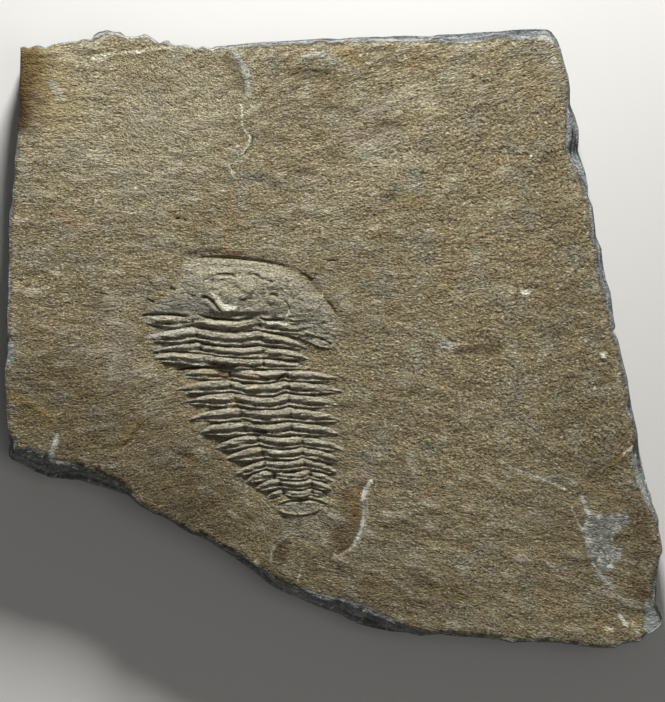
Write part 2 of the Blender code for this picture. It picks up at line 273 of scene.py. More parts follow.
def head_shape(height, fossil, x, y):
    """Adds the head shield's large forms and marks where it lies.

    The trough dies out at both cheeks, and the rim is softest where the cheeks pass into the bed.
    """
    margin = smooth_path(HEAD_MARGIN, 3)
    ring = np.concatenate([margin, np.array(HEAD_REAR, float)])
    chosen = near(ring, x, y, 24)
    cx, cy = x[chosen], y[chosen]
    far, share, _ = along_path(margin, cx, cy)
    within = inside_ring(cx, cy, ring)
    inward = np.where(within, far, 0.0)
    trough = -TROUGH * np.exp(-(np.where(within, 0.5 * far, far) / 4.5) ** 2)
    trough *= np.clip((share - 0.16) / 0.12, 0, 1) * np.clip((1 - share) / 0.2, 0.2, 1)
    soft = np.clip(5 - 12 * share, 1, 5) + np.clip(8 * share - 4.8, 0, 2.5)
    rim = RIM_RISE * (1 - np.exp(-inward / (2.5 * soft)))
    across = (cx - DOME_CENTRE[0]) / DOME_REACH[0]
    along = (cy - DOME_CENTRE[1]) / DOME_REACH[1]
    dome = DOME_RISE * np.clip(1 - across ** 2 - along ** 2, 0, 1)
    dome *= 1 - np.exp(-inward / 8.0)
    crush = CRUSH * (wander(cx / 1.4, cy, 9, 23.0) + 0.5 * wander(cx / 1.3, cy, 4, 27.0))
    crush *= np.clip(inward / 6.0, 0, 1)
    height[chosen] += trough + rim + dome + crush
    edge = np.clip(inward / (2.0 * soft), 0, 1) * np.clip((HEAD_END - cy) / 6, 0, 1)
    fossil[chosen] = np.maximum(fossil[chosen], edge)


print("corners of the head's margin:", len(HEAD_MARGIN))

# %% Lobes of the head shield: centre, size, rise in millimetres
HEAD_LOBES = [
    ((227, 292), (13, 11), 0.26),
    ((248, 289), (8, 9), 0.18),
    ((232, 302), (16, 5), 0.14),
    ((230, 311), (9, 4), 0.2),
    ((238, 315), (24, 2.6), -0.24),
    ((199, 303), (9, 5), 0.16),
    ((274, 300), (8, 5), 0.18),
    ((266, 287), (10, 5), 0.18),
    ((270, 312), (13, 6), 0.16),
    ((303, 305), (14, 20), 0.2),
    ((172, 301), (18, 7), 0.16),
    ((196, 284), (10, 8), 0.12),
]


def head_lobes(height, x, y):
    """Adds the swellings and hollows of the crushed head."""
    for centre, size, rise in HEAD_LOBES:
        height += rise * hill(x, y, centre, size)


print("lobes of the head:", len(HEAD_LOBES))

# %% Furrows of the head: path, half width, rise in millimetres, soil and painted shade that darken it
HEAD_LINES = [
    ([(180, 261), (190, 258), (205, 257), (222, 257.5), (241, 259), (262, 261.5), (280, 265),
      (299, 271)], 1.3, -0.15, 0.6),
    ([(184, 256), (198, 254), (212, 252.5), (226, 252)], 3.0, -0.16, 0.25),
    ([(298, 272), (306, 276), (314, 283)], 1.4, -0.12, 0.5),
    ([(325, 299), (332, 307), (338, 316)], 1.3, -0.16, 0.6),
    ([(214, 278.5), (216, 275.2), (223, 274.5), (232, 275), (239, 280)], 1.5, -0.24, 0.7),
    ([(243, 276), (251, 274.5), (257, 275.5), (261, 278.5), (269, 281), (278, 282.5)],
     1.1, -0.18, 0.6),
    ([(215, 281), (224, 277.8), (234, 278), (240, 282)], 1.4, 0.12, 0.0),
    ([(214, 278), (211.5, 286), (212, 295)], 1.8, -0.16, 0.2),
    ([(253, 277), (256, 285), (254, 293), (247, 299)], 2.0, -0.16, 0.2),
    ([(240, 279), (241, 286), (238, 292)], 1.5, -0.1, 0.15),
    ([(284, 285), (290, 293), (291, 302)], 2.0, -0.12, 0.15),
    ([(184, 290), (190, 295), (197, 297)], 1.2, -0.12, 0.4),
    ([(186, 268), (205, 266), (230, 266.5), (258, 270), (286, 277)], 1.8, -0.08, 0.1),
    ([(198, 297.5), (205, 297.5), (210, 299.5), (214, 303.5), (218, 309), (223, 313)],
     1.6, -0.26, 0.7),
    ([(200, 301), (207, 303), (213, 308), (218, 313)], 2.6, 0.2, 0.0),
    ([(238, 301), (246, 300), (254, 297)], 1.6, -0.16, 0.6),
    ([(268, 295.5), (273, 294.5), (279, 297.5)], 1.5, -0.22, 0.9),
    ([(276, 280), (283, 281.5), (291, 282)], 1.0, -0.1, 0.5),
    ([(283, 300), (288, 305), (290, 311)], 0.9, -0.12, 0.5),
    ([(257, 317), (268, 320), (285, 320)], 1.1, -0.25, 0.9),
    ([(137, 320), (143, 316), (152, 314.8), (168, 314.5), (180, 315.5), (192, 318)],
     1.3, -0.3, 1.0),
    ([(195, 315), (205, 316.8), (215, 318.4), (232, 320), (247, 319.3), (258, 316)],
     1.4, -0.3, 1.0),
    ([(169, 288), (173, 289), (176, 291)], 1.6, -0.18, 0.8),
    ([(142, 298), (149, 300), (156, 303.5)], 0.9, -0.16, 0.9),
    ([(319, 339), (326, 341), (333, 345.5)], 1.0, -0.22, 1.0),
    ([(300, 330), (312, 334), (322, 338)], 1.3, 0.14, 0.0),
]
print("lines of the head:", len(HEAD_LINES))

# %% [markdown]
# ## The thorax
# Behind the head lie fifteen segments. Each one runs from a left tip, over the axis, to a right
# tip, and has the same cross-section: a broad ridge, a furrow, a narrow ridge at the rear and a
# sharp drop where the next segment slips under it. The body broke across behind the fourth segment
# and its rear part slid to the right.
# Fifteen swept ribs are what Geometry Nodes do well: one curve for each segment, one profile for
# all, and a radius along the curve that narrows a rib towards its tips.

# %% Crests of the segments: left rib, ring and right rib, each from left to right
SEGMENTS = [
    ([(139, 318.5), (152, 318), (170, 318), (188, 320)],
     [(197, 320), (215, 322), (238, 323.5), (256, 321)],
     [(263, 322), (280, 323.5), (300, 328), (316, 335)]),
    ([(141, 338), (160, 335), (176, 332.5), (193, 330.5)],
     [(200, 332), (218, 334), (240, 335), (259, 334)],
     [(264, 335), (285, 339.5), (300, 344), (312, 349)]),
    ([(150, 350.5), (166, 348), (182, 346), (197, 345)],
     [(205, 347), (222, 348), (243, 349.5), (261, 349)],
     [(266, 349.5), (285, 352), (300, 355), (314, 360)]),
    ([(152, 357), (165, 355), (182, 355.5), (200, 357)],
     [(207, 357.5), (222, 358), (238, 360), (262, 362)],
     [(266, 361.5), (285, 363), (300, 365), (316, 368)]),
    ([(177, 374), (190, 372), (210, 371.5), (226, 373)],
     [(233, 371.5), (248, 372.5), (268, 373), (284, 372)],
     [(291, 373), (308, 374), (326, 375.5), (344, 378)]),
    ([(172, 388.5), (188, 386), (208, 384), (228, 383)],
     [(233, 384), (250, 385.5), (270, 385.5), (286, 384)],
     [(292, 384.5), (308, 385.5), (326, 387), (344, 390)]),
    ([(181, 400.5), (200, 398), (215, 397), (231, 396)],
     [(238, 396), (254, 398.5), (272, 399), (287, 396.5)],
     [(292, 397), (308, 398.5), (326, 400.5), (342, 404)]),
    ([(187, 418.5), (203, 414.5), (220, 412), (238, 410.5)],
     [(243, 410.5), (258, 411.5), (274, 411.5), (289, 411)],
     [(293, 411.5), (310, 413), (328, 415.5), (346, 419)]),
    ([(195, 433.5), (208, 428.5), (222, 426), (240, 425)],
     [(249, 425), (262, 425.5), (278, 425.5), (290, 424.5)],
     [(295, 425), (310, 426.5), (328, 429.5), (344, 434)]),
    ([(213, 447.5), (225, 443.5), (240, 440), (255, 437.5)],
     [(260, 437), (272, 438.5), (288, 439.5), (301, 439)],
     [(305, 439.5), (320, 442), (335, 445.5), (349, 450.5)]),
    ([(222, 458.5), (235, 454.5), (248, 451.5), (260, 450)],
     [(264, 449.5), (275, 450.5), (290, 451), (301, 450)],
     [(305, 450.5), (320, 453), (334, 457), (347, 462)]),
    ([(232, 474.5), (242, 470), (252, 466), (262, 463)],
     [(266, 461.5), (276, 462), (292, 462), (303, 461)],
     [(307, 461.5), (318, 464), (330, 468), (339, 472)]),
    ([(244, 481.5), (252, 477), (262, 474), (272, 472.5)],
     [(276, 472.5), (285, 473), (300, 473), (309, 472)],
     [(313, 473), (321, 475), (330, 478.5), (338, 482)]),
    ([(254, 489), (261, 485), (270, 482), (278, 480.5)],
     [(282, 481.5), (290, 482), (302, 482), (310, 481.5)],
     [(314, 482), (321, 484), (328, 486.5), (334, 489.5)]),
    ([(264, 498), (270, 494.5), (276, 492.5), (282, 491.5)],
     [(285, 490.5), (293, 491), (303, 491), (311, 490.5)],
     [(315, 491), (320, 492.5), (325, 494.5), (329, 497)]),
]
print("segments:", len(SEGMENTS))

# %% [markdown]
# ### One curve for each segment
# The pitch, which is the distance to the next crest, sets how wide a segment is, so it becomes the
# radius of the curve. Heights along the curve give the lobes: the axis stands highest, the ribs
# start lower beside it and sink into the bed at their tips, which sweep back a little. Towards the
# tail the axis gets flatter.

# %% Curves of the segments
AXIS_ARCH = 0.42
FURROW_DIP = 0.2
PLEURA_ARCH = 0.22
TIP_SINK = 0.2
TIP_SWEEP = (1.5, 0.3)
RING_BOW = 2.2
LAST_PITCH = 6.5
WIDEST_PITCH = 14.5
FLATTER_FROM = 8
FLATTER_BY = 0.7
WOBBLE = 0.04
WIDTH_VARIES = 0.18
RIB_SHARES = (0.0, 0.45, 0.8, 1.0)
TIP_TAPER = (0.22, 0.68, 0.95, 1.0)
LOBE_SHARES = (0.06, 0.36, 0.68, 0.95)


def row_pitches(index):
    """Distance to the next segment at each of a segment's places."""
    here = [p for lobe in SEGMENTS[index] for p in lobe]
    if index + 1 == len(SEGMENTS):
        return [LAST_PITCH] * len(here)
    there = np.array([p for lobe in SEGMENTS[index + 1] for p in lobe])
    return [np.interp(x, there[:, 0], there[:, 1]) - y for x, y in here]


def segment_stations(index):
    """Places, heights and widths along one segment."""
    left, ring, right = SEGMENTS[index]
    places = np.array(left + ring + right, float)
    places[[0, -1], 1] += TIP_SWEEP[0]
    places[[1, -2], 1] += TIP_SWEEP[1]
    places[4:8, 1] += RING_BOW * (np.sin(math.pi * np.array(LOBE_SHARES)) - 0.4)
    pitches = np.clip(row_pitches(index), LAST_PITCH, WIDEST_PITCH)
    pleura = [PLEURA_ARCH * share - TIP_SINK * (1 - share) for share in RIB_SHARES]
    arch = AXIS_ARCH * (1 - FLATTER_BY * np.clip((index - FLATTER_FROM) / 6, 0, 1))
    axis = [arch * math.sin(math.pi * share) + 0.5 * PLEURA_ARCH for share in LOBE_SHARES]
    rises = np.array(pleura + axis + pleura[::-1])
    rises[[3, 4, 7, 8]] -= FURROW_DIP
    taper = np.array(TIP_TAPER + (1.0,) * 4 + TIP_TAPER[::-1])
    return places, rises, pitches * taper


def segment_curves():
    """One curve object that holds a spline for each segment."""
    data = bpy.data.curves.new("segments", "CURVE")
    data.dimensions = "3D"
    for index in range(len(SEGMENTS)):
        places, rises, widths = segment_stations(index)
        x, y = places[:, 0], places[:, 1]
        wobble = WOBBLE * wander(x, y, 13, 40.0 + index)
        points = on_slab(x, y, bed_height(x, y) + rises + wobble)
        spline = data.splines.new("POLY")
        spline.points.add(len(points) - 1)
        widths *= 1 + WIDTH_VARIES * wander(x, y, 9, 60.0 + index)
        for target, point, width in zip(spline.points, points, widths):
            target.co = (*point, 1.0)
            target.radius = width * UNIT
    curves = bpy.data.objects.new("segments", data)
    bpy.context.scene.collection.objects.link(curves)
    return curves


curves = segment_curves()
print("splines:", len(curves.data.splines))

# %% [markdown]
# ### The cross-section
# The profile is drawn for a pitch of 1: from the front foot over the ridge, the furrow and the rear
# ridge to the drop. Its height is a share of the pitch too, so small segments are also flatter.

# %% Profile of a segment: way from the crest line towards the tail, and height
PROFILE = [
    (-0.26, -0.22), (-0.22, -0.06), (-0.18, 0.22), (-0.13, 0.50), (-0.07, 0.68), (0.0, 0.83),
    (0.07, 0.94), (0.13, 1.0), (0.19, 0.96), (0.25, 0.80), (0.31, 0.58), (0.38, 0.38),
    (0.45, 0.30), (0.50, 0.36), (0.55, 0.50), (0.60, 0.60), (0.64, 0.50), (0.69, 0.16),
    (0.74, -0.12), (0.80, -0.26),
]


def profile_curve():
    """The cross-section as an open curve, its heights pointing down as the sweep wants them."""
    data = bpy.data.curves.new("segment profile", "CURVE")
    data.dimensions = "3D"
    spline = data.splines.new("POLY")
    spline.points.add(len(PROFILE) - 1)
    for target, (back, up) in zip(spline.points, PROFILE):
        target.co = (back, -up, 0.0, 1.0)
    profile = bpy.data.objects.new("segment profile", data)
    bpy.context.scene.collection.objects.link(profile)
    return profile


profile = profile_curve()
print("profile points:", len(PROFILE))

# %% [markdown]
# ### The sweep as a node tree
# One small function adds a node with its settings and links, here and for every material below.

# %% A helper that adds a node
def add_node(tree, kind, inputs=None, **settings):
    """Adds a node. An input is a plain value, a socket, or a node with its first output."""
    made = tree.nodes.new(kind)
    for name, value in settings.items():
        setattr(made, name, value)
    for key, value in (inputs or {}).items():
        if isinstance(value, bpy.types.Node):
            value = value.outputs[0]
        if isinstance(value, bpy.types.NodeSocket):
            tree.links.new(value, made.inputs[key])
        else:
            made.inputs[key].default_value = value
    return made


print("node helper:", add_node.__name__)

# %% Node tree: thorax ribs
def rib_tree():
    """Sweeps the profile along the curves, scaled by their radius."""
    tree = bpy.data.node_groups.new("thorax ribs", "GeometryNodeTree")
    sockets = tree.interface
    sockets.new_socket("Segments", in_out="INPUT", socket_type="NodeSocketGeometry")
    sockets.new_socket("Profile", in_out="INPUT", socket_type="NodeSocketObject")
    sockets.new_socket("Spacing", in_out="INPUT", socket_type="NodeSocketFloat")
    sockets.new_socket("Width", in_out="INPUT", socket_type="NodeSocketFloat")
    sockets.new_socket("Relief", in_out="INPUT", socket_type="NodeSocketFloat")
    sockets.new_socket("Stone", in_out="INPUT", socket_type="NodeSocketMaterial")
    sockets.new_socket("Ribs", in_out="OUTPUT", socket_type="NodeSocketGeometry")
    given = add_node(tree, "NodeGroupInput").outputs
    smooth = add_node(tree, "GeometryNodeCurveSplineType", {"Curve": given["Segments"]},
                      spline_type="CATMULL_ROM")
    even = add_node(tree, "GeometryNodeResampleCurve",
                    {"Curve": smooth.outputs[0], "Length": given["Spacing"]}, mode="LENGTH")
    upright = add_node(tree, "GeometryNodeSetCurveNormal", {"Curve": even.outputs[0]}, mode="Z_UP")
    drawn = add_node(tree, "GeometryNodeObjectInfo", {"Object": given["Profile"]})
    size = add_node(tree, "ShaderNodeCombineXYZ",
                    {"X": given["Width"], "Y": given["Relief"], "Z": 1.0})
    sized = add_node(tree, "GeometryNodeTransform",
                     {"Geometry": drawn.outputs["Geometry"], "Scale": size.outputs[0]})
    radius = add_node(tree, "GeometryNodeInputRadius")
    swept = add_node(tree, "GeometryNodeCurveToMesh",
                     {"Curve": upright.outputs[0], "Profile Curve": sized.outputs[0],
                      "Scale": radius.outputs[0]})
    real = add_node(tree, "GeometryNodeRealizeInstances", {"Geometry": swept.outputs[0]})
    stone = add_node(tree, "GeometryNodeSetMaterial",
                     {"Geometry": real.outputs[0], "Material": given["Stone"]})
    add_node(tree, "NodeGroupOutput", {"Ribs": stone.outputs[0]})
    return tree


print("nodes in the sweep:", len(rib_tree().nodes))

# %% [markdown]
# ### From nodes to a plain mesh
# The swept ribs are a mould. The bed is draped over them further down, so the fossil and the stone
# end up as one skin. A tree of boxes answers quickly how high the ribs stand at a place.

# %% Sweep the ribs
RIB_SPACING = 0.25 * MM
RIB_WIDTH = 1.0
RIB_RELIEF = 0.22

shale = bpy.data.materials.new("weathered shale")
sweep = curves.modifiers.new("thorax ribs", "NODES")
sweep.node_group = bpy.data.node_groups["thorax ribs"]
values = {"Profile": profile, "Spacing": RIB_SPACING, "Width": RIB_WIDTH,
          "Relief": RIB_RELIEF, "Stone": shale}
for socket in sweep.node_group.interface.items_tree:
    if socket.in_out == "INPUT" and socket.name in values:
        sweep[socket.identifier] = values[socket.name]
evaluated = curves.evaluated_get(bpy.context.evaluated_depsgraph_get())
ribs = bpy.data.meshes.new_from_object(evaluated)
curves.modifiers.remove(sweep)
rib_mould = BVHTree.FromPolygons([v.co for v in ribs.vertices], [p.vertices for p in ribs.polygons])
print("points in the swept ribs:", len(ribs.vertices))
for finished in (curves, profile):
    bpy.data.objects.remove(finished, do_unlink=True)
bpy.data.meshes.remove(ribs)

# %% [markdown]
# ### Draping
# A ray goes straight down at every point near the thorax. Where it meets a rib above the bed, the
# bed is raised to it. Furrows beside the axis are cut in afterwards, and a finer unevenness is added
# because the real ribs are crushed.

# %% Drape the bed over the ribs
DROP_FROM = 50 * MM
RIB_BOX = [(135, 312), (352, 504)]
RIB_EDGE = 0.06
AXIS_NOTCH = 0.2
NOTCH_SIZE = (1.7, 4.0)
NOTCH_SOIL_AND_SHADE = 0.6
RIB_CRUSH = 0.12
CRUSH_FROM = 316


def notch_axis(height, dirt_and_painted_shade, x, y):
    """Cuts the two furrows beside the axis into every segment, with soil and painted shade in them.
    """
    for left, ring, right in SEGMENTS:
        for (x1, y1), (x2, y2) in ((left[-1], ring[0]), (ring[-1], right[0])):
            notch = hill(x, y, ((x1 + x2) / 2, (y1 + y2) / 2 + 2.5), NOTCH_SIZE)
            height -= AXIS_NOTCH * notch
            # soil and painted shade in the notch
            np.maximum(dirt_and_painted_shade, NOTCH_SOIL_AND_SHADE * notch, out=dirt_and_painted_shade)


def drape(height, fossil, x, y):
    """Raises the bed to the ribs, and marks the places where they show."""
    for index in np.flatnonzero(near(np.array(RIB_BOX, float), x, y, 2)):
        px, py, _ = on_slab(x[index], y[index], 0.0)
        hit = rib_mould.ray_cast(Vector((px, py, DROP_FROM)), Vector((0, 0, -1)))[0]
        if hit is None:
            continue
        above = hit.z / MM - height[index]
        if above > 0:
            height[index] += above
        fossil[index] = max(fossil[index], min(1.0, max(0.0, above / RIB_EDGE + 0.5)))
    crush = wander(x / 5, y, 2.2, 35.0) + wander(x / 2.4, y, 4, 33.0) + wander(x / 1.6, y, 9, 37.0)
    height += RIB_CRUSH * crush * fossil * (y > CRUSH_FROM)


print("rays start at, mm:", DROP_FROM / MM)

# %% [markdown]
# ## The tail shield and the broken places
# The small tail shield is a low oval cushion with a sunk middle and a thin bright rim. Around the
# break the segments are crushed, so a few hollows and stray edges are drawn there one by one.

# %% Lines of the tail and of the crushed places: path, half width, rise, soil and painted shade
BODY_LINES = [
    ([(272, 506), (285, 500.5), (296, 498), (310, 497.5), (322, 500), (330, 505)], 1.3, 0.16, 0.0),
    ([(273, 508), (285, 503), (296, 501), (310, 500), (324, 504)], 0.9, -0.1, 0.7),
    ([(284, 507), (293, 503.5), (303, 502.5), (314, 503), (322, 506)], 1.3, 0.14, 0.0),
    ([(290, 508), (302, 507), (314, 508)], 2.4, -0.08, 0.1),
    ([(274, 508), (284, 512.5), (297, 514.5), (312, 512.5), (325, 506)], 1.2, 0.16, 0.0),
    ([(266, 502), (275, 500), (284, 497)], 1.0, 0.1, 0.0),
    ([(316, 499), (323, 501), (330, 504)], 1.0, 0.12, 0.0),
    ([(208, 363), (220, 365.5), (232, 366.5), (241, 365)], 2.2, -0.2, 0.8),
    ([(171, 370.5), (188, 368.3), (203, 367), (216, 367.5), (240, 369)], 1.2, -0.28, 1.0),
    ([(148, 356), (159, 352), (174, 351.3), (198, 352.8)], 1.1, -0.14, 0.9),
    ([(172, 359), (186, 360.5), (200, 361.5)], 3.0, 0.2, 0.0),
    ([(275, 382), (281, 377), (288, 372)], 1.2, -0.2, 0.8),
    ([(240, 364), (255, 368), (270, 371)], 1.2, -0.14, 0.6),
    ([(252, 374), (262, 377), (272, 380)], 1.3, -0.16, 0.6),
    ([(183, 394), (194, 392.5), (205, 391.5)], 1.4, 0.14, 0.0),
    ([(196, 425), (215, 422), (238, 418)], 1.2, 0.1, 0.0),
    ([(250, 432), (260, 432), (270, 433)], 2.6, -0.22, 0.9),
    ([(193, 320), (200, 326.5), (213, 329.5), (232, 331.5), (248, 330.5), (259, 327)],
     1.3, -0.2, 1.0),
]
print("lines of the body:", len(BODY_LINES))

# %% [markdown]
# ## Cracks and ledges of the bed
# A thin layer has broken away in places. Its edge is a ledge: the stone drops on one side and
# climbs back slowly further out. Cracks, scratches and grit are drawn as narrow lines.

# %% Ledges: path, side that drops (+1 right, -1 left), step in millimetres, reach of the slope
LEDGES = [
    ([(373, 478), (368, 487), (364, 498), (365, 512), (362, 528), (357, 540), (345, 551),
      (330, 557)], 1, 0.42, 20),
    ([(640, 441), (629, 449), (618, 459), (600, 470), (583, 486)], 1, 0.16, 14),
    ([(229, 47), (234, 56), (239, 65), (243, 76), (246, 88), (248, 99)], 1, 0.22, 14),
    ([(19, 400), (32, 409), (48, 419), (56, 428)], 1, 0.12, 14),
    ([(142, 422), (130, 434), (118, 450)], -1, 0.1, 12),
    ([(288, 536), (277, 545), (272, 553), (271, 562)], -1, 0.12, 12),
    ([(304, 561), (298, 572), (296, 582)], -1, 0.1, 8),
]
print("ledges:", len(LEDGES))

# %% Cracks and wrinkles of the bed: path, half width, rise, soil and painted shade
BED_LINES = [
    ([(241, 104), (242, 114), (242, 127), (250, 137), (249, 144), (244, 152), (239, 156),
      (230, 160), (229, 166), (234, 177), (239, 181)], 1.0, 0.1, 0.0),
    ([(243, 128), (252, 137), (251, 145), (245, 153), (232, 161), (231, 167), (236, 177)],
     0.9, -0.16, 0.7),
    ([(324, 260), (332, 260.5), (341, 260)], 0.9, -0.16, 0.9),
    ([(484, 150), (500, 152), (520, 155), (538, 158)], 0.9, -0.1, 0.7),
    ([(455, 205), (468, 199), (484, 197)], 0.9, -0.1, 0.6),
    ([(360, 372), (378, 368), (396, 369)], 0.9, -0.08, 0.5),
    ([(420, 452), (436, 447), (455, 449)], 0.9, -0.08, 0.5),
    ([(398, 520), (412, 527), (428, 532)], 0.9, -0.08, 0.5),
    ([(172, 208), (173, 217), (180, 219), (190, 221)], 0.9, -0.16, 0.8),
    ([(120, 390), (110, 395), (100, 402)], 0.8, -0.12, 0.8),
    ([(142, 424), (133, 436), (119, 450)], 0.9, -0.14, 0.8),
    ([(545, 560), (550, 566), (557, 570), (566, 568)], 1.0, 0.08, 0.0),
    ([(497, 460), (515, 468), (535, 477), (552, 482), (571, 493)], 0.9, -0.08, 0.3),
    ([(572, 508), (578, 520), (583, 535)], 0.9, -0.1, 0.4),
    ([(330, 554), (330, 564)], 0.8, -0.14, 0.8),
    ([(385, 539), (384, 562)], 0.8, -0.1, 0.5),
    ([(275, 182), (274, 193)], 0.8, -0.1, 0.6),
    ([(512, 352), (500, 349), (480, 350), (460, 354), (448, 360)], 3.6, -0.1, 0.2),
    ([(500, 342), (480, 343), (458, 347), (444, 353)], 3.2, 0.06, 0.0),
    ([(378, 126), (390, 124), (404, 127)], 3.0, -0.1, 0.4),
    ([(300, 76), (315, 72), (332, 75)], 3.0, -0.1, 0.3),
    ([(478, 82), (489, 82)], 2.2, -0.16, 0.7),
    ([(300, 58), (318, 55), (334, 62)], 3.5, 0.14, 0.0),
    ([(586, 502), (587, 514)], 2.0, -0.1, 0.0),
    ([(52, 82), (60, 92), (62, 100)], 3.0, 0.08, 0.0),
    ([(90, 60), (115, 56), (137, 53), (158, 50), (173, 50)], 1.2, 0.07, 0.0),
]
print("lines of the bed:", len(BED_LINES))

# %% Cutting a ledge
LOW_SHARE = 0.62
HIGH_SHARE = 0.38
DROP_WIDTH = 2.2
TOE = (1.6, 1.5)
TOE_SOIL_AND_SHADE = 0.7
LEDGE_ENDS = 0.16


def cut_ledge(height, dirt_and_painted_shade, x, y, path, side, step, reach):
    """Drops the bed on one side of a path, and lets it climb back further out. Soil and painted
    shade lie at the foot of the drop.
    """
    path = smooth_path(path)
    chosen = near(path, x, y, 2 * reach)
    far, share, here = along_path(path, x[chosen], y[chosen])
    signed = far * here * side
    low_side = -LOW_SHARE * step * np.exp(-np.clip(signed, 0, None) / reach)
    high_side = HIGH_SHARE * step * np.exp(np.clip(signed, None, 0) / reach)
    blend = np.clip(signed / DROP_WIDTH + 0.5, 0, 1)
    rise = high_side * (1 - blend) + low_side * blend
    height[chosen] += rise * fade_ends(share, LEDGE_ENDS)
    toe = np.exp(-((signed - TOE[0]) / TOE[1]) ** 2) * fade_ends(share, LEDGE_ENDS)
    dirt_and_painted_shade[chosen] = np.maximum(dirt_and_painted_shade[chosen], TOE_SOIL_AND_SHADE * toe)


print("drop of the deepest ledge, mm:", max(step for _, _, step, _ in LEDGES))

# %% Height of the whole face
BEDDING_DOWN = 0.05
BODY_LINE = [(150, 318), (300, 330), (230, 400), (300, 490)]
BODY_HALF_WIDTH = 40
KNOB = ((658, 618), (11, 17), 0.7)
TAIL = ((299, 507), (20, 5), 0.22)
TAIL_SKIN = ((299, 506), (27, 9))


def face_height(x, y):
    """Height, fossil share, and soil with painted shade, for every point of the face."""
    fossil = np.zeros(len(x))
    dirt_and_painted_shade = np.zeros(len(x))
    height = rough_bed(x, y)
    far, _, _ = along_path(np.array(BODY_LINE, float), x, y)
    height -= BEDDING_DOWN * np.exp(-(far / BODY_HALF_WIDTH) ** 4)
    head_shape(height, fossil, x, y)
    head_lobes(height, x, y)
    drape(height, fossil, x, y)
    notch_axis(height, dirt_and_painted_shade, x, y)
    for line in HEAD_LINES + BODY_LINES + BED_LINES:
        draw_line(height, dirt_and_painted_shade, x, y, *line)
    for ledge in LEDGES:
        cut_ledge(height, dirt_and_painted_shade, x, y, *ledge)
    centre, size, drop = KNOB
    height -= drop * hill(x, y, centre, size) ** 0.5
    centre, size, rise = TAIL
    height += rise * hill(x, y, centre, size)
    fossil = np.maximum(fossil, np.clip(3 * hill(x, y, *TAIL_SKIN) - 1, 0, 1))
    return height, fossil, dirt_and_painted_shade


glabella, _, _ = face_height(np.array([230.0]), np.array([292.0]))
print("height of the glabella, mm:", glabella.round(2))

# %% [markdown]
# ## Stains, calcite, scuffs and painted light
# Weathering left rust along the old corner and in a few hollows. Calcite, cream white, fills small
# cracks and one patch on the head. Fresh scuffs show the blue-grey stone under the brown skin. A few
# strokes are painted shade and painted highlight: slate along the top rim, pale on the head's front,
# and a pair at a wavy ridge. Each mark is painted on the points as a colour and a strength. The
# material breaks up its edges later.

# %% Colours of the marks
MINERALS = {
    "cream": "#e6e3cb",
    "rust": "#4f3615",
    "ochre": "#a5905a",
    "orange": "#a5814f",
    "fresh": "#a3a6a2",
    "scuff and painted highlight": "#b4b3a6",
    "lilac": "#958b80",
    "blue": "#85857b",
    "umber and painted shadow": "#4e4027",
    "pink": "#a08d7d",
    # slate is painted shade, on the top rim and on the lower back wall
    "slate painted shade": "#4b4d4b",
    "pale skin and painted highlight": "#b3ab90",
}
print("minerals:", len(MINERALS))

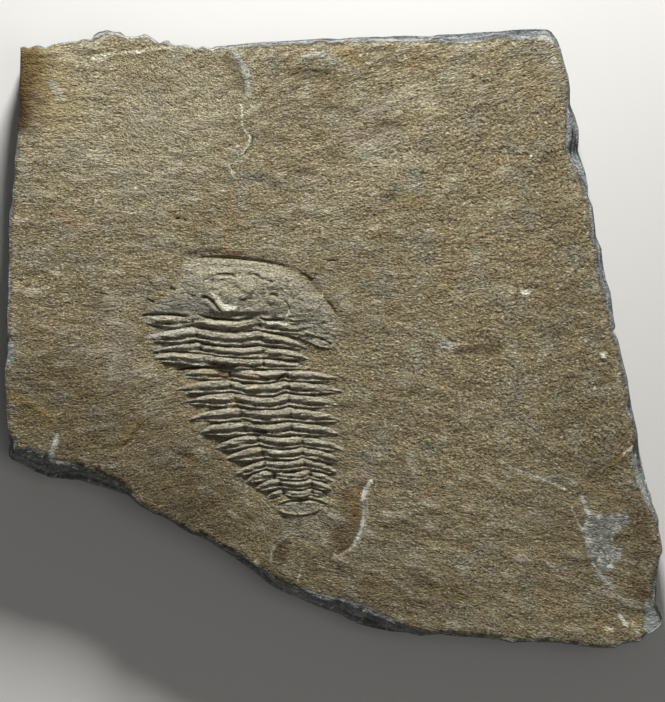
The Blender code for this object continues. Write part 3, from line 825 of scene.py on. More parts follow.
# %% Marks: mineral, path, half width, strength
MARKS = [
    ("pale skin and painted highlight", [(60, 100), (130, 160), (190, 110)], 70, 0.3),
    ("umber and painted shadow", [(40, 400), (110, 450), (180, 490)], 55, 0.3),
    ("umber and painted shadow", [(200, 540), (330, 600), (430, 620)], 45, 0.2),
    # painted shade: two slate strokes darken the top rim, which faces the low lamp
    ("slate painted shade", [(345, 35), (385, 33), (430, 33)], 4.5, 0.95),
    ("slate painted shade", [(440, 32), (480, 30), (512, 29), (550, 28)], 8, 0.97),
    ("umber and painted shadow", [(575, 230), (600, 400), (590, 540)], 60, 0.14),
    ("rust", [(30, 60), (34, 84), (28, 112)], 18, 0.45),
    ("rust", [(22, 50), (25, 66), (22, 84)], 14, 0.95),
    ("rust", [(19, 96), (22, 108), (19, 122)], 9, 0.85),
    ("ochre", [(30, 60), (48, 74), (60, 110)], 24, 0.3),
    ("cream", [(92, 57), (104, 54.5), (115, 53)], 1.3, 0.32),
    ("cream", [(122, 52.5), (137, 51)], 1.3, 0.32),
    ("cream", [(93, 59), (97, 61), (103, 59), (107, 56)], 1.5, 0.35),
    ("cream", [(137, 52), (140, 53), (144, 50)], 1.5, 0.3),
    ("cream", [(146, 49), (158, 48), (172, 47)], 1.3, 0.32),
    ("scuff and painted highlight", [(52, 82), (57, 90), (60, 97)], 3.5, 0.45),
    ("cream", [(241.5, 294), (242.5, 294)], 1.4, 0.9),
    ("cream", [(289, 310.5), (287.5, 315), (285.5, 319)], 1.1, 0.85),
    ("cream", [(264, 322.5), (275, 323.3), (288, 324.5)], 1.2, 0.4),
    ("blue", [(152, 309), (170, 304), (188, 306)], 9, 0.3),
    ("blue", [(200, 301), (208, 305), (217, 312)], 3.2, 0.42),
    ("blue", [(225, 313), (240, 315), (254, 313)], 4, 0.21),
    # painted highlight, partly a paler skin, on the head's front, which faces the lamp
    ("pale skin and painted highlight", [(186, 263), (215, 262), (245, 265), (275, 272)], 8, 0.18),
    ("pale skin and painted highlight", [(218, 285), (232, 290), (248, 288)], 9, 0.5),
    ("umber and painted shadow", [(300, 279), (309, 283), (318, 290)], 5, 0.25),
    ("scuff and painted highlight", [(176, 360), (190, 361.5), (204, 363)], 3, 0.3),
    ("orange", [(205, 371), (216, 371), (228, 373)], 3, 0.28),
    ("orange", [(205, 376), (216, 377), (226, 378)], 2.6, 0.25),
    ("orange", [(188, 386), (200, 385.5)], 2.4, 0.22),
    ("cream", [(229, 407), (231, 404), (234, 401)], 2.2, 0.6),
    ("orange", [(232, 408), (236, 400)], 4, 0.28),
    ("cream", [(249, 389), (256, 386)], 1.8, 0.5),
    ("orange", [(246, 380), (258, 388)], 3.5, 0.28),
    ("orange", [(255, 449), (261, 452)], 2.6, 0.25),
    ("pink", [(300, 469), (308, 472)], 3.4, 0.49),
    ("cream", [(259.5, 357), (261, 357)], 1.4, 0.9),
    ("cream", [(274, 449), (280, 452)], 1.2, 0.55),
    ("cream", [(294, 404), (294.5, 406)], 1.1, 0.8),
    ("cream", [(302, 437), (304, 437)], 1.1, 0.8),
    ("pink", [(240, 364), (247, 366)], 3, 0.41),
    ("pink", [(250, 376), (258, 378)], 3.5, 0.38),
    ("orange", [(224, 251), (236, 254)], 3.2, 0.3),
    ("orange", [(235, 181), (231, 200), (229, 222), (225, 243)], 1.8, 0.3),
    ("pale skin and painted highlight", [(275, 250), (350, 190), (420, 120), (455, 90)], 30, 0.22),
    ("rust", [(228, 254), (238, 253)], 2.2, 0.22),
    ("scuff and painted highlight", [(19, 30), (19, 60), (17, 100)], 1.8, 0.6),
    ("umber and painted shadow", [(226, 60), (236, 72), (241, 88)], 5, 0.3),
    ("cream", [(241, 105), (242, 114), (242, 127), (250, 137), (249, 144)], 0.9, 0.55),
    ("cream", [(249, 144), (243, 153), (232, 159.5), (229, 166), (234, 177), (239, 181)],
     0.8, 0.42),
    ("scuff and painted highlight", [(303, 57), (318, 54), (332, 61)], 5, 0.35),
    ("umber and painted shadow", [(298, 76), (315, 73), (334, 77)], 5, 0.3),
    ("ochre", [(342, 52), (357, 58)], 8, 0.3),
    ("ochre", [(406, 198), (418, 202)], 6, 0.3),
    ("pink", [(346, 138), (368, 136), (390, 142)], 9, 0.26),
    ("pale skin and painted highlight", [(395, 100), (410, 92), (424, 95)], 11, 0.35),
    ("pale skin and painted highlight", [(352, 148), (372, 152), (392, 160)], 9, 0.3),
    ("lilac", [(366, 112), (380, 106)], 10, 0.3),
    ("ochre", [(404, 122), (425, 116), (440, 112)], 6, 0.18),
    ("umber and painted shadow", [(377, 126), (402, 127)], 4, 0.3),
    ("orange", [(58, 214), (78, 222)], 7, 0.17),
    ("orange", [(172, 209), (172.5, 217)], 1.6, 0.39),
    ("lilac", [(108, 310), (118, 340), (130, 368)], 15, 0.25),
    ("pale skin and painted highlight", [(110, 300), (124, 304), (136, 301)], 7, 0.3),
    ("pale skin and painted highlight", [(112, 322), (126, 326), (136, 332)], 6, 0.3),
    ("pale skin and painted highlight", [(103, 348), (118, 352), (112, 362)], 6, 0.25),
    # at the wavy ridge: a painted highlight on its lit rim, and a painted shadow, partly brown
    # stain, in the furrow below
    ("scuff and painted highlight", [(442, 344), (452, 346)], 5, 0.45),
    ("umber and painted shadow", [(462, 352), (498, 350)], 5, 0.3),
    ("umber and painted shadow", [(624, 458), (606, 472), (590, 478)], 5, 0.3),
    ("orange", [(634, 445), (620, 457), (606, 466)], 2.2, 0.16),
    ("cream", [(640, 441), (632, 447), (624, 453)], 1.1, 0.4),
    ("scuff and painted highlight", [(372.5, 479.5), (367, 488), (363.5, 498), (364, 512), (361.5, 528), (354, 545)],
     1.8, 0.85),
    ("rust", [(352, 500), (350, 520), (342, 542)], 12, 0.26),
    ("orange", [(358, 472), (356, 495), (355, 520)], 6, 0.16),
    ("pink", [(360, 472), (368, 474)], 6, 0.5),
    ("cream", [(371, 480), (365, 488), (362.5, 500)], 1.5, 0.8),
    ("cream", [(364.5, 512), (363, 524), (358, 538)], 1.2, 0.7),
    ("cream", [(286, 537), (276, 545), (271.5, 553), (270.5, 561)], 1.2, 0.4),
    ("umber and painted shadow", [(282, 545), (280, 556)], 6, 0.34),
    ("cream", [(303, 562), (298, 580)], 1.1, 0.35),
    ("cream", [(255, 563), (257, 565)], 1.8, 0.7),
    ("scuff and painted highlight", [(57, 436), (55, 444), (50, 457)], 2.6, 0.75),
    ("cream", [(56, 437), (54, 445)], 1.4, 0.5),
    ("ochre", [(14, 397), (30, 404), (42, 413), (50, 421)], 5, 0.26),
    ("ochre", [(140, 422), (129, 433), (115, 447)], 4.5, 0.22),
    ("fresh", [(9, 345), (9, 360)], 4.5, 0.7),
    ("cream", [(498, 460), (515, 468), (535, 477), (552, 482), (571, 493)], 1.2, 0.3),
    ("cream", [(572, 508), (577, 520), (584, 535)], 1.2, 0.35),
    ("scuff and painted highlight", [(150, 335), (175, 331), (192, 329)], 4, 0.4),
    ("scuff and painted highlight", [(155, 349), (185, 345)], 4, 0.35),
    ("scuff and painted highlight", [(577, 120), (584, 160)], 6, 0.5),
    ("scuff and painted highlight", [(606, 265), (616, 312)], 4, 0.5),
    ("scuff and painted highlight", [(641, 455), (652, 498)], 8, 0.5),
    ("scuff and painted highlight", [(582, 497), (586, 507), (589, 515)], 2.2, 0.7),
    ("scuff and painted highlight", [(588, 512), (586, 530), (588, 548)], 1.8, 0.6),
    ("scuff and painted highlight", [(614, 548), (613, 558), (609, 568)], 1.5, 0.7),
    ("scuff and painted highlight", [(620, 550), (618, 560)], 1.4, 0.6),
    ("scuff and painted highlight", [(597, 574), (604, 579), (612, 587)], 3.4, 0.4),
    ("scuff and painted highlight", [(600, 572), (608, 584)], 1.2, 0.6),
    ("rust", [(636, 505), (648, 540), (640, 590)], 12, 0.28),
    ("ochre", [(632, 626), (638, 632)], 4, 0.5),
    ("ochre", [(600, 626), (610, 632)], 4, 0.4),
    ("scuff and painted highlight", [(545, 560), (550, 566), (557, 570), (566, 568)], 1.4, 0.6),
    ("cream", [(620, 616), (623, 621), (627, 625)], 1.8, 1.0),
    ("cream", [(606, 628), (612, 630)], 2, 0.6),
    ("cream", [(633, 625), (639, 632)], 2, 0.6),
    ("scuff and painted highlight", [(488, 638), (500, 640)], 1.8, 0.7),
    ("scuff and painted highlight", [(542, 38), (552, 40)], 3, 0.6),
    ("scuff and painted highlight", [(442, 634), (462, 637), (486, 639)], 1.4, 0.6),
]
print("strokes:", len(MARKS))

# %% Patches: mineral, border, strength, width of the soft edge
PATCHES = [
    ("cream", [(213, 294), (216.5, 294), (219.5, 299), (223, 303.5), (228, 304.5), (233, 302),
               (237.5, 303), (236.5, 308.5), (230, 311.5), (224, 311), (219, 308), (215, 301)],
     1.0, 2),
    ("fresh", [(588, 511), (606, 516), (627, 511), (630, 521), (620, 531), (609, 542), (622, 550),
               (621, 559), (614, 568), (605, 572), (594, 568), (587, 551), (584, 532)], 0.5, 6),
    ("scuff and painted highlight", [(229, 46), (234, 48), (243, 60), (250, 72), (250, 97), (246, 96), (245, 80),
               (238, 64), (231, 55)], 0.85, 3),
    ("fresh", [(645, 600), (657, 605), (664, 612), (666, 619), (663, 627), (655, 632), (648, 638),
               (644, 628), (646, 612)], 1.0, 2),
]
SCAR = PATCHES[1][1]
print("patches:", len(PATCHES))

# %% Grit: single cream specks, and scratches over the grey scar
SPECKS = [
    (96, 201), (110, 122), (104, 137), (75, 210), (135, 188), (270, 50), (264, 56), (360, 55),
    (366, 54), (404, 56), (497, 383), (502, 393), (509, 383), (536, 380), (594, 388), (572, 317),
    (552, 422), (506, 151), (531, 156), (568, 158), (502, 463), (537, 477), (543, 480), (563, 488),
    (580, 527), (585, 341),
]
LARGE_SPECKS = [(523, 291.5), (527, 292), (603, 355)]
SCRATCHES = 60
STRAY_SHARE = 0.04
SCRATCH_SEED = 11


def scar_scratches():
    """Short scratches inside the scar, and a few stray ones beside it."""
    scatter = random.Random(SCRATCH_SEED)
    made = []
    while len(made) < SCRATCHES:
        x, y = scatter.uniform(584, 630), scatter.uniform(505, 584)
        if inside_ring(x, y, SCAR) or scatter.random() < STRAY_SHARE:
            turn, reach = scatter.uniform(1.0, 2.6), scatter.uniform(1, 4)
            end = (x + reach * math.cos(turn), y + reach * math.sin(turn))
            made.append((scatter.choice(("cream", "cream", "umber and painted shadow")), [(x, y), end], 1.0, 0.45))
    return made


for spot in SPECKS:
    MARKS.append(("cream", [spot, (spot[0] + 1, spot[1])], 1.0, 0.7))
for spot in LARGE_SPECKS:
    MARKS.append(("cream", [spot, (spot[0] + 1, spot[1] + 0.5)], 2.3, 1.0))
MARKS += scar_scratches()
print("painted marks:", len(MARKS))

# %% Painting
def linear(code):
    """sRGB hex colour as linear red, green, blue and full alpha."""
    parts = [int(code[i:i + 2], 16) / 255 for i in (1, 3, 5)]
    return [p / 12.92 if p <= 0.04045 else ((p + 0.055) / 1.055) ** 2.4 for p in parts] + [1.0]


def add_paint(paint, chosen, mineral, amount):
    """Lays one coat over what is painted already."""
    colour = np.array(linear(MINERALS[mineral])[:3])
    before = paint[chosen, 3]
    after = before + amount * (1 - before)
    share = np.divide(amount, after, out=np.zeros_like(amount), where=after > 0)
    paint[chosen, :3] += (colour - paint[chosen, :3]) * share[:, None]
    paint[chosen, 3] = after


def painted_marks(x, y):
    """Colour and strength of the marks at every point: patches first, then strokes."""
    paint = np.zeros((len(x), 4))
    for mineral, ring, strength, edge in PATCHES:
        ring = np.array(ring + ring[:1], float)
        chosen = np.flatnonzero(near(ring, x, y, 2))
        far, _, _ = along_path(ring, x[chosen], y[chosen])
        signed = np.where(inside_ring(x[chosen], y[chosen], ring), far, -far)
        add_paint(paint, chosen, mineral, strength * np.clip(0.5 + signed / edge, 0, 1))
    for mineral, path, width, strength in MARKS:
        path = np.array(path, float)
        chosen = np.flatnonzero(near(path, x, y, 1.6 * width + 1))
        far, _, _ = along_path(path, x[chosen], y[chosen])
        add_paint(paint, chosen, mineral, strength * np.clip(1.5 - far / width, 0, 1))
    return paint


print("rust in linear light:", [round(part, 3) for part in linear(MINERALS["rust"])[:3]])

# %% [markdown]
# ## The outline and the broken sides
# The slab broke roughly straight across its beds. Some sides slope outwards below the face, so a
# strip of fresh blue-grey stone shows from above. The third number of each place says how far the
# face's edge stays back from the outline. The sides step down lamina by lamina.

# %% Outline from above, clockwise from the top left corner: x, y, setback of the face
OUTLINE = [
    (19, 46, 3), (23, 45, 3), (27, 47, 3), (36, 44, 3), (41, 45, 3), (44, 47, 2), (52, 43, 2),
    (63, 41, 2), (75, 39.5, 2), (82, 38, 2), (91, 38, 2), (93, 34, 4), (97, 31, 5), (106, 28.5, 5),
    (115, 30.5, 4), (119, 30, 5), (125, 35, 3), (137, 35, 2), (145, 32.5, 3), (149, 34.5, 2),
    (159, 42, 2), (164, 39, 3), (168, 39, 3), (170, 42, 2), (175, 44, 2), (185, 43, 2),
    (197, 47, 2), (203, 45, 2), (211, 47, 3), (215, 45, 4), (230, 44, 4), (246, 42, 4),
    (260, 41, 4), (282, 40, 4), (300, 38.5, 4), (320, 37, 4), (340, 37.5, 4), (350, 36, 4),
    (385, 35, 6), (405, 34, 7), (430, 35, 5), (440, 33, 7), (460, 32.5, 11), (480, 30.5, 10),
    (500, 29.5, 6), (512, 28.5, 9), (527, 27.5, 10), (540, 27.5, 10), (548, 27.5, 10),
    (552, 30, 8), (558, 38, 6), (562, 48, 4), (565, 60, 3), (569, 74, 2), (571, 86, 2),
    (571, 103, 4), (576, 114, 8), (580, 128, 12), (580, 142, 13), (579, 149, 12), (583, 160, 11),
    (587, 173, 8), (589, 186, 5), (589, 195, 4), (594, 206, 4), (596, 224, 4), (597, 236, 5),
    (603, 248, 6), (604, 262, 7), (607, 278, 7), (612, 292, 7), (614, 310, 6), (617, 328, 5),
    (614, 331, 3), (619, 338, 3), (622, 352, 3), (625, 365, 2.5), (629, 380, 3), (631, 394, 3),
    (633, 406, 6), (636, 420, 3), (639, 433, 3), (640, 448, 7), (643, 462, 9), (646, 475, 11),
    (650, 490, 10), (653, 496, 9), (653, 502, 6), (658, 514, 4), (660, 520, 3), (660, 530, 2),
    (663, 543, 2), (664, 552, 2), (661, 558, 2), (659, 570, 2), (658, 585, 4), (658, 600, 5),
    (657, 604, 3), (662, 613, 2), (664, 619, 2), (663, 625, 2), (655, 632, 2), (647, 637, 2),
    (641, 643, 3), (624, 645, 2.5), (615, 649, 2), (600, 649.5, 2), (582, 647, 2), (560, 644, 2),
    (530, 643, 2), (513, 644, 3), (500, 641, 3), (480, 639, 3), (460, 638, 3), (440, 635, 2.5),
    (420, 637, 5), (408, 634, 6), (392, 633, 11), (376, 630, 17), (360, 626, 20), (347, 620, 19),
    (340, 615, 17), (326, 611, 15), (313, 606, 13), (298, 599, 11), (282, 593, 10), (268, 585, 9),
    (258, 576, 9), (246, 567, 8), (233, 558, 7), (220, 550, 5), (206, 541, 5), (190, 535, 4),
    (178, 527, 3), (163, 518, 3), (152, 514, 3), (140, 507, 3), (131, 500, 4), (128, 496, 6),
    (110, 491, 12), (94, 486, 14), (78, 481, 15), (60, 479.5, 18), (48, 478, 20), (34, 472, 21),
    (22, 465, 20), (10, 460, 15), (7, 456, 12), (7, 450, 9), (9, 442, 6), (6, 433, 3),
    (5, 420, 2.5), (4, 395, 2), (3, 370, 2), (5, 355, 3), (6, 333, 2.5), (5, 323, 2), (6, 305, 2),
    (7, 290, 2), (7, 270, 2), (8, 255, 2), (7, 235, 2), (8, 215, 2), (11, 200, 2), (11, 190, 2),
    (13, 175, 2), (13, 160, 2), (15, 150, 2), (16, 130, 2), (18, 120, 2), (18, 90, 3), (19, 60, 3),
]
COLUMN_STEP = 2.5


def walked_outline():
    """The outline at even steps: places, setbacks and the way inwards."""
    corners = np.array(OUTLINE + OUTLINE[:1], float)
    lengths = np.hypot(*np.diff(corners[:, :2], axis=0).T)
    ways = np.concatenate([[0.0], np.cumsum(lengths)])
    steps = np.arange(round(ways[-1] / COLUMN_STEP)) * ways[-1] / round(ways[-1] / COLUMN_STEP)
    x, y, setback = (np.interp(steps, ways, corners[:, axis]) for axis in range(3))
    normal = np.zeros((len(x), 2))
    for reach in (3, 8, 14):
        dx = np.roll(x, -reach) - np.roll(x, reach)
        dy = np.roll(y, -reach) - np.roll(y, reach)
        normal += np.stack([-dy, dx], axis=-1) / np.hypot(dx, dy)[:, None]
    return x, y, setback, normal / np.hypot(normal[:, 0], normal[:, 1])[:, None]


edge_x, edge_y, edge_setback, edge_normal = walked_outline()
COLUMNS = len(edge_x)
print("columns round the side:", COLUMNS)

# %% Laminae of the side: level of each one's lower edge as a share of the thickness
LAMINAE = (0.93, 0.86, 0.79, 0.69, 0.6, 0.5, 0.4, 0.3, 0.19)
FOOT_TUCK = 9.0
FOOT_RECESS = 0.7
LAMINA_DRIFT = 0.45
WIDEST = 0.5


def side_inset(level):
    """How far a level of the side lies inside the outline, before it is roughened."""
    down = np.clip((1 - level) / (1 - WIDEST), 0, 1)
    tuck = np.clip((WIDEST - level) / WIDEST, 0, 1)
    return edge_setback * (1 - down) ** 1.2 + FOOT_TUCK * tuck ** 1.5


def side_ring(inset, level, lane):
    """One line round the side, with chips along it."""
    chips = 0.9 * wander(edge_x, edge_y, 9, lane) + 0.6 * wander(edge_x, edge_y, 3.7, lane + 5)
    inset = np.clip(inset + chips * np.clip(inset / 2 + 0.15, 0, 1), 0.0, None)
    drift = LAMINA_DRIFT * wander(edge_x, edge_y, 80, 50.0)
    height = np.maximum(THICKNESS * level + drift, FOOT_RECESS)
    x = edge_x + edge_normal[:, 0] * inset
    y = edge_y + edge_normal[:, 1] * inset
    return x, y, height


def side_rings():
    """Upper and lower edge of every lamina, from the top to the foot."""
    rings = []
    upper = 1.0
    for index, lower in enumerate(LAMINAE):
        middle_level = (upper + lower) / 2
        spread = 0.3 * side_inset(middle_level) + 0.5
        inset = side_inset(middle_level) + spread * wander(edge_x, edge_y, 24, 31.0 + 7 * index)
        if index:
            rings.append(side_ring(inset, upper - 0.006, 60.0 + index))
        rings.append(side_ring(inset - 0.25, lower, 60.3 + index))
        upper = lower
    rings.append(side_ring(side_inset(0.05) + 0.5, 0.0, 90.0))
    return rings


rings = side_rings()
print("lines round the side:", len(rings))

# %% [markdown]
# ## Points of the face
# The mesh has to stay light, so points go where the detail is: about one unit apart on the fossil,
# less than two near cracks and stains, and four apart on the bare bed. A constrained Delaunay
# triangulation joins them, with the rim of the face as its border.

# %% Point grids
FINE_STEP = 0.96
MIDDLE_STEP = 1.8
OPEN_STEP = 4.0
RIM_DROP = 0.15
FOSSIL_RING = [
    (133, 322), (136, 308), (150, 298), (164, 288), (174, 272), (178, 252), (206, 247), (240, 250),
    (290, 262), (314, 274), (332, 296), (344, 318), (346, 342), (336, 354), (322, 356),
    (336, 370), (350, 372), (353, 420), (354, 456), (344, 492), (332, 506), (312, 518), (290, 519),
    (266, 508), (246, 490), (226, 480), (208, 452), (188, 436), (176, 402), (166, 388), (170, 366),
    (146, 360), (136, 342),
]


def hex_grid(step, low, high):
    """Places of a triangular grid over a box."""
    rows = np.arange(low[1], high[1], step * math.sqrt(3) / 2)
    columns = np.arange(low[0], high[0], step)
    x, y = np.meshgrid(columns, rows)
    x = x + 0.5 * step * (np.arange(len(rows)) % 2)[:, None]
    return x.ravel(), y.ravel()


def close_to_detail(x, y):
    """Which places lie near a crack, a ledge or a small stain."""
    close = np.zeros(len(x), bool)
    lines = HEAD_LINES + BODY_LINES + BED_LINES
    paths = [(line[0], 2.2 * line[1]) for line in lines]
    paths += [(ledge[0], 4.5) for ledge in LEDGES]
    paths += [(mark[1], mark[2] + 1.6) for mark in MARKS if mark[2] < 3.6]
    paths += [(patch[1] + patch[1][:1], 3.0) for patch in PATCHES]
    for path, reach in paths:
        path = np.array(path, float)
        chosen = np.flatnonzero(near(path, x, y, reach) & ~close)
        far, _, _ = along_path(path, x[chosen], y[chosen])
        close[chosen] = far < reach
    return close


def face_places(rim_x, rim_y):
    """All places of the face, the rim first."""
    ring = np.stack([rim_x, rim_y], axis=-1)
    low, high = ring.min(axis=0), ring.max(axis=0)
    fossil_ring = np.array(FOSSIL_RING, float)
    chosen = []
    for step in (FINE_STEP, MIDDLE_STEP, OPEN_STEP):
        x, y = hex_grid(step, low, high)
        on_fossil = inside_ring(x, y, fossil_ring)
        if step == FINE_STEP:
            keep = on_fossil
        else:
            keep = ~on_fossil
            detail = np.zeros(len(x), bool)
            detail[keep] = close_to_detail(x[keep], y[keep])
            keep &= detail if step == MIDDLE_STEP else ~detail
        keep[keep] = inside_ring(x[keep], y[keep], ring)
        rim_far, _, _ = along_path(ring[::2], x[keep], y[keep])
        keep[keep] = rim_far > 0.6 * max(step, 1.8)
        chosen.append(np.stack([x[keep], y[keep]], axis=-1))
    return np.concatenate([ring] + chosen)


rim_spread = np.minimum(0.3 * edge_setback, 2.0)
rim_inset = edge_setback + rim_spread * wander(edge_x, edge_y, 20, 31.0)
rim_x, rim_y, _ = side_ring(rim_inset, 1.0, 60.0)
places = face_places(rim_x, rim_y)
print("points on the face:", len(places))

# %% Triangles of the face
def triangulated(points, border):
    """Triangles over flat places, inside the closed border that comes first."""
    closed = [(index, (index + 1) % border) for index in range(border)]
    flat = [Vector((px, -py)) for px, py in points]
    result = geometry.delaunay_2d_cdt(flat, closed, [], 0, 1e-6, True)
    if len(result[0]) != len(points):
        raise ValueError("the rim crosses itself or two points coincide")
    origins = np.array([origin[0] for origin in result[3]])
    triangles = origins[np.array(result[2])]
    all_rim = (triangles < border).all(axis=1)
    centres = points[triangles[all_rim]].mean(axis=1)
    keep = np.ones(len(triangles), bool)
    keep[all_rim] = inside_ring(centres[:, 0], centres[:, 1], points[:border])
    return triangles[keep]


face_triangles = triangulated(places, COLUMNS)
print("triangles on the face:", len(face_triangles))

# %% [markdown]
# ## Skin of the face
# Heights are worked out for all points at once. Hollows narrower than a few units get soil and
# painted shade, and raised crests get wear and a painted highlight. A hollow is a point that lies
# lower than its smoothed surroundings, so the heights are smoothed along the mesh's edges and
# compared. The rim is worn, so it lies a little lower.

# %% Heights, hollows and paint
def neighbour_mean(values, edges, rounds):
    """Values smoothed along the edges of the mesh."""
    for _ in range(rounds):
        total = values.copy()
        count = np.ones(len(values))
        for a, b in ((0, 1), (1, 0)):
            np.add.at(total, edges[:, a], values[edges[:, b]])
            np.add.at(count, edges[:, a], 1.0)
        values = total / count
    return values


face_x, face_y = places[:, 0], places[:, 1]
face_z, fossil, soil_and_painted_shade = face_height(face_x, face_y)
face_z[:COLUMNS] -= RIM_DROP
face_edges = np.concatenate([face_triangles[:, [0, 1]], face_triangles[:, [1, 2]],
                             face_triangles[:, [2, 0]]])
hollow = neighbour_mean(face_z, face_edges, 5) - face_z
paint = painted_marks(face_x, face_y)
print("face height, mm:", face_z.min().round(2), "to", face_z.max().round(2))

# %% [markdown]
# ## The underside
# It doesn't show in the usual view. Shale splits flat there too, so it is a flat face with a few
# low cleavage steps, set back from the side's foot.

# %% Underside
UNDER_STEP = 9.0
FOOT_SPREAD = 24.0
CLEAVAGE = 0.09


def underside(foot_x, foot_y):
    """Places, heights and triangles of the underside, the foot's line first."""
    ring = np.stack([foot_x, foot_y], axis=-1)
    x, y = hex_grid(UNDER_STEP, ring.min(axis=0), ring.max(axis=0))
    keep = inside_ring(x, y, ring)
    closed = np.concatenate([ring[::3], ring[:1]])
    far, _, _ = along_path(closed, x, y)
    keep &= far > 4.0
    x, y, far = x[keep], y[keep], far[keep]
    slope = np.clip(1 - far / (FOOT_SPREAD * (1 + 0.5 * wander(x, y, 60, 70.0))), 0, 1)
    layers = np.floor(2.5 * np.clip(wander(x, y, 110, 75.0) + 0.3, 0, 1))
    height = np.maximum(FOOT_RECESS * slope ** 1.5, CLEAVAGE * layers * (far > 30))
    points = np.concatenate([ring, np.stack([x, y], axis=-1)])
    return points, height, triangulated(points, COLUMNS)


foot_x, foot_y, foot_z = rings[-1]
under_places, under_z, under_triangles = underside(foot_x, foot_y)
print("triangles underneath:", len(under_triangles))

# %% [markdown]
# ## Paint on the sides
# The marks of the face run a little way over its edge and then fade. The back wall, which faces the
# low lamp, gets painted shade towards its foot, and the front wall is bruised pale where it was
# struck.

# %% Paint on the sides
FADE_LEVEL = 0.8
FADE_DEPTH = 0.2
FADE_WAVER = 0.12
BACK_WALL_PAINTED_SHADE = 0.55
BACK_WALL_FROM = 90
SHADE_LEVEL = 0.85
SHADE_DEPTH = 0.25
FRONT_WALL_BRUISE = 0.4
FRONT_WALL_FROM = 430


def side_paint():
    """Colour and strength of the paint at every point of the side's lines."""
    x, y, z = (np.concatenate([ring[axis] for ring in rings]) for axis in (0, 1, 2))
    coats = painted_marks(x, y)
    every = np.arange(len(x))
    level = z / THICKNESS + FADE_WAVER * wander(x, y, 9, 41.0)
    coats[:, 3] *= np.clip((level - FADE_LEVEL) / FADE_DEPTH, 0, 1)
    # painted shade on the lower back wall, which faces the low lamp
    back_wall_painted_shade = np.clip((BACK_WALL_FROM - y) / 30, 0, 1)
    back_wall_painted_shade *= np.clip((SHADE_LEVEL - level) / SHADE_DEPTH, 0, 1)
    add_paint(coats, every, "slate painted shade", BACK_WALL_PAINTED_SHADE * back_wall_painted_shade)
    bruised = np.clip(2.5 * wander(x, y + 3 * z, 4, 43.0), 0, 1)
    front_wall = bruised * np.clip((y - FRONT_WALL_FROM) / 20, 0, 1)
    add_paint(coats, every, "cream", FRONT_WALL_BRUISE * front_wall)
    return coats


side_coats = side_paint()
print("painted points on the sides:", int((side_coats[:, 3] > 0.05).sum()))

# %% [markdown]
# ## One closed mesh
# Face, side lines and underside share their border points, so the slab is closed. Numbers that the
# material needs go along as attributes: how much fossil, fresh break, and soil with painted shade
# there is, and the painted marks. Edges sharper than an angle stay crisp, so the laminae read as
# broken.

# %% Join the skins
RIM_FRESH = 0.6
UNDER_FRESH = 0.3
CRISP_FROM = math.radians(48)


def joined_faces():
    """Triangles of the face, quads between the side's lines, and triangles underneath."""
    faces = [tuple(map(int, triangle)) for triangle in face_triangles]
    upper = 0
    lower = len(face_x)
    for _ in rings:
        for index in range(COLUMNS):
            after = (index + 1) % COLUMNS
            faces.append((upper + index, upper + after, lower + after, lower + index))
        upper = lower
        lower += COLUMNS
    return faces + [tuple(int(upper + index) for index in reversed(t)) for t in under_triangles]


def slab_mesh():
    """Face, sides and underside as one mesh, with its attributes."""
    under_x, under_y = under_places[COLUMNS:].T
    points = [on_slab(face_x, face_y, face_z)] + [on_slab(*ring) for ring in rings]
    points.append(on_slab(under_x, under_y, under_z))
    made = bpy.data.meshes.new("fossil slab")
    made.from_pydata(np.concatenate(points).tolist(), [], joined_faces())
    rest = len(made.vertices) - len(face_x)
    rim = np.where(np.arange(len(face_x)) < COLUMNS, RIM_FRESH, 0.0)
    fresh = [rim, np.ones(len(side_coats)), np.full(len(under_z), UNDER_FRESH)]
    layers = {
        "fossil": np.concatenate([fossil, np.zeros(rest)]),
        "fresh": np.concatenate(fresh),
        # soil and painted shade of the drawn furrows, the notches and the ledges' toes
        "soil_and_painted_shade": np.concatenate([soil_and_painted_shade, np.zeros(rest)]),
        "hollow": np.concatenate([hollow, np.zeros(rest)]),
    }
    for name, amounts in layers.items():
        made.attributes.new(name, "FLOAT", "POINT").data.foreach_set("value", amounts)
    colours = np.concatenate([paint, side_coats, np.zeros((len(under_z), 4))])
    made.attributes.new("marks", "FLOAT_COLOR", "POINT").data.foreach_set("color", colours.ravel())
    made.update()
    made.shade_smooth()
    made.set_sharp_from_angle(angle=CRISP_FROM)
    return made


mesh = slab_mesh()
slab = bpy.data.objects.new("trilobite_slab", mesh)
bpy.context.scene.collection.objects.link(slab)
triangles = sum(len(polygon.vertices) - 2 for polygon in mesh.polygons)
print("triangles in the slab:", triangles)

# %% [markdown]
# ## Weathered shale
# Shale is mud pressed to stone. Its beds weather to an olive-brown, matt skin with a fine, wavy
# grain, like crepe paper. The fossil's skin is greyer and smoother. A fresh break is blue-grey and
# shows the laminae as thin lines. One material holds all of this, and the attributes say where each
# finish lies.
# Grains of silt are finer than 0.06 mm, which is under half a pixel of the render, so the grain is
# drawn coarser than it is: specks about 0.2 mm and grains about 0.3 mm across. The crinkles lie
# 0.8 mm apart and are twice as long, and the slow waves of the crepe are about 2 mm apart and 4 mm
# long, as on the real bed.
# All are noise on Object coordinates in millimetres, turned along the ripples and bent by a slower
# noise so that the streaks waver. They feed a bump, because the mesh can't hold so fine a relief,
# and a part of the colour: pits of the grain and grooves of the crinkles are darker, as dirt and
# painted shade, and crests of the grain are paler, as paler grain and painted highlight.

